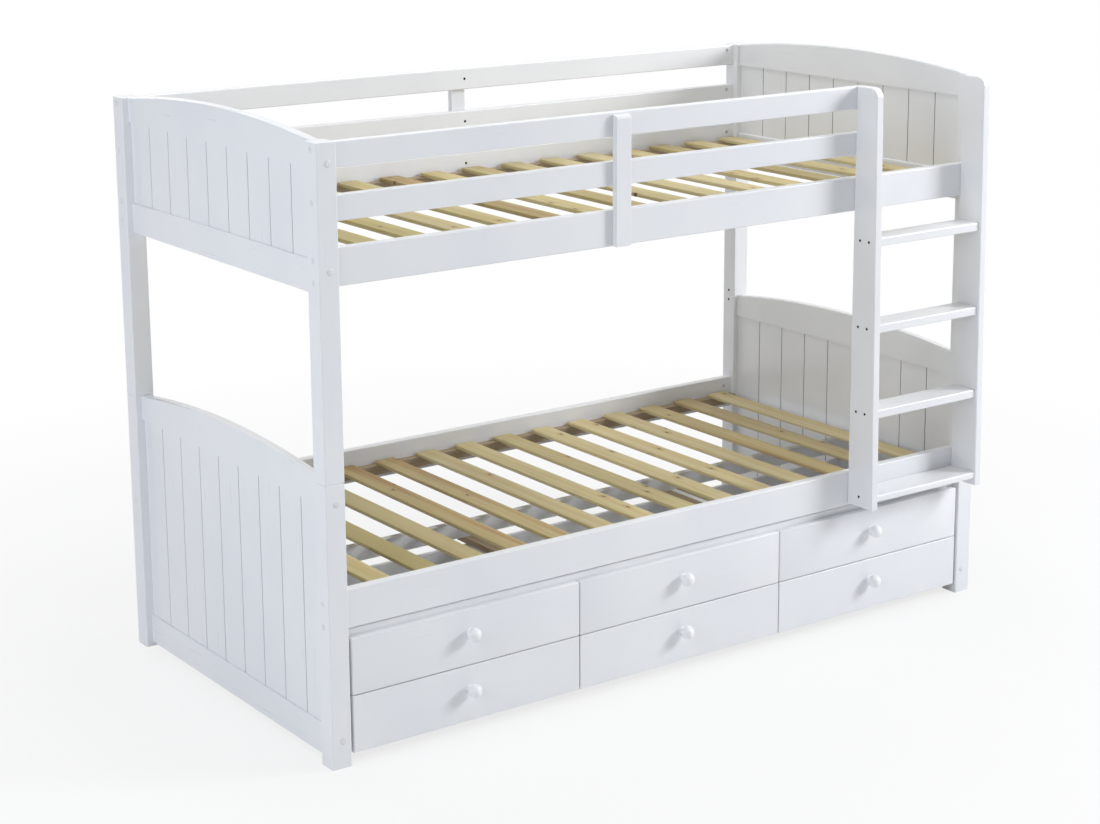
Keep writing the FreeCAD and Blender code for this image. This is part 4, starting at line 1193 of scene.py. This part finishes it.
@dataclass
class Studio:
    """Floor, soft lamps, white surroundings and the camera."""

    stand: tuple[float, float, float] = (-3.3269, -4.5562, 2.1105)
    yaw: float = 0.6205
    dip: float = 0.2187
    roll: float = -0.0061
    focal: float = 73.885
    film: float = 36.0
    rise: float = -0.1
    sight: float = 200.0
    aim: tuple[float, float, float] = (0.0, 0.0, 0.7)
    seen: Colour = (1.0, 1.0, 1.0, 1.0)
    felt: Colour = (0.96, 0.98, 1.0, 1.0)
    felt_strength: float = 0.22
    floor_half: float = 14.0
    floor_tiles: int = 14
    floor_level: float = -0.0004
    floor_colour: Colour = (0.80, 0.80, 0.80, 1.0)
    floor_gloss: float = 0.7
    fade_reach: Range = (1.3, 2.9)
    fade: Range = (0.76, 1.0)
    lamps: tuple[Lamp, ...] = (
        Lamp("key", (4.4, -3.3, 3.0), 2.2, 232.0, (0.96, 0.975, 1.0)),
        Lamp("fill", (-4.8, -2.6, 2.8), 2.8, 66.0, (0.88, 0.93, 1.0)),
        Lamp("side", (-5.0, -0.2, 1.8), 2.6, 44.0, (0.87, 0.92, 1.0)),
        Lamp("top", (0.2, 0.2, 4.4), 3.4, 78.0, (1.0, 1.0, 0.98)),
        Lamp("back", (-0.8, 5.2, 2.8), 2.8, 50.0, (0.97, 0.98, 1.0)),
    )

    def add_camera(self) -> None:
        """Stand the camera where the photo was taken from, with a small part of the photo's rise."""
        data = bpy.data.cameras.new("camera")
        data.sensor_width = self.film
        data.lens = self.focal
        data.shift_y = self.rise
        data.clip_end = self.sight
        camera = bpy.data.objects.new("camera", data)
        bpy.context.scene.collection.objects.link(camera)
        camera.location = self.stand
        level = Euler((math.pi / 2 - self.dip, 0.0, -self.yaw)).to_matrix()
        camera.rotation_euler = (level @ Matrix.Rotation(self.roll, 3, "Z")).to_euler()
        bpy.context.scene.camera = camera

    def add_world(self) -> None:
        """White surroundings: full white to the eye and in gloss, dimmer as light."""
        world = bpy.data.worlds.new("surroundings")
        world.use_nodes = True
        tree = world.node_tree
        tree.nodes.clear()
        kinds = ("OutputWorld", "LightPath", "Background", "Background", "MixShader", "Math")
        surround, path, seen, felt, mix, sees = (tree.nodes.new("ShaderNode" + kind) for kind in kinds)
        sees.operation = "MAXIMUM"
        for node, colour, strength in ((seen, self.seen, 1.0), (felt, self.felt, self.felt_strength)):
            node.inputs["Color"].default_value = colour
            node.inputs["Strength"].default_value = strength
        for source, output, target, entry in (
            (path, "Is Camera Ray", sees, 0),
            (path, "Is Glossy Ray", sees, 1),
            (sees, 0, mix, 0),
            (felt, 0, mix, 1),
            (seen, 0, mix, 2),
            (mix, 0, surround, "Surface"),
        ):
            tree.links.new(source.outputs[output], target.inputs[entry])
        bpy.context.scene.world = world

    def floor_finish(self) -> Finish:
        """Build a pale finish that fades to white with the distance from the bed's middle.

        Returns:
            The new material.
        """
        canvas = NodeCanvas("pale_floor")
        canvas.fill(canvas.shader, {"Base Color": self.floor_colour, "Roughness": self.floor_gloss})
        white = canvas.add("ShaderNodeEmission")
        path = canvas.add("ShaderNodeLightPath")
        far = canvas.add("ShaderNodeVectorMath", operation="LENGTH")
        canvas.feed(far, 0, canvas.place)
        fade = canvas.spread((far, "Value"), self.fade_reach, self.fade)
        seen = canvas.math("MAXIMUM", (path, "Is Camera Ray"), (path, "Is Glossy Ray"))
        mix = canvas.add("ShaderNodeMixShader")
        canvas.feed(mix, 0, canvas.times(fade, seen))
        canvas.join(canvas.shader, 0, mix, 1)
        canvas.join(white, 0, mix, 2)
        canvas.join(mix, 0, canvas.output, "Surface")
        return canvas.material

    def add_floor(self) -> None:
        """Lay a pale floor that keeps the bed's shadow: a flat grid of square tiles."""
        line = self.floor_tiles + 1
        step = np.linspace(-self.floor_half, self.floor_half, line)
        x, y = np.meshgrid(step, step)
        points = np.stack([x, y, np.full_like(x, self.floor_level)], axis=-1).reshape(-1, 3)
        row = np.arange(self.floor_tiles)
        start = (row[:, None] * line + row[None, :]).reshape(-1)
        faces = np.column_stack([start, start + 1, start + line + 1, start + line]).tolist()
        floor = mesh_piece("floor", points, faces, self.floor_finish())

    def build(self) -> None:
        """Set the studio up."""
        self.add_camera()
        for lamp in self.lamps:
            lamp.hang(Vector(self.aim))
        self.add_world()
        self.add_floor()
        bpy.context.scene.view_settings.view_transform = "Standard"


def main() -> None:
    """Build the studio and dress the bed."""
    logging.basicConfig(level=logging.INFO)
    Studio().build()
    palette = Palette()
    Carcass(palette).build()
    builders = [
        SlatRow(palette, "slats_lower", 11),
        SlatRow(palette, "slats_upper", 23),
        Covers(palette),
        Screws(palette),
        TopStrip(palette),
    ]
    builders += [UpperFront(palette, number) for number in (1, 2, 3)]
    builders += [Knob(palette, f"{row}_{number}") for row in ("lower", "upper") for number in (1, 2, 3)]
    for builder in builders:
        piece = builder.build()
        LOG.info("%s: %d faces", piece.name, len(piece.data.polygons))


if __name__ == "__main__":
    main()
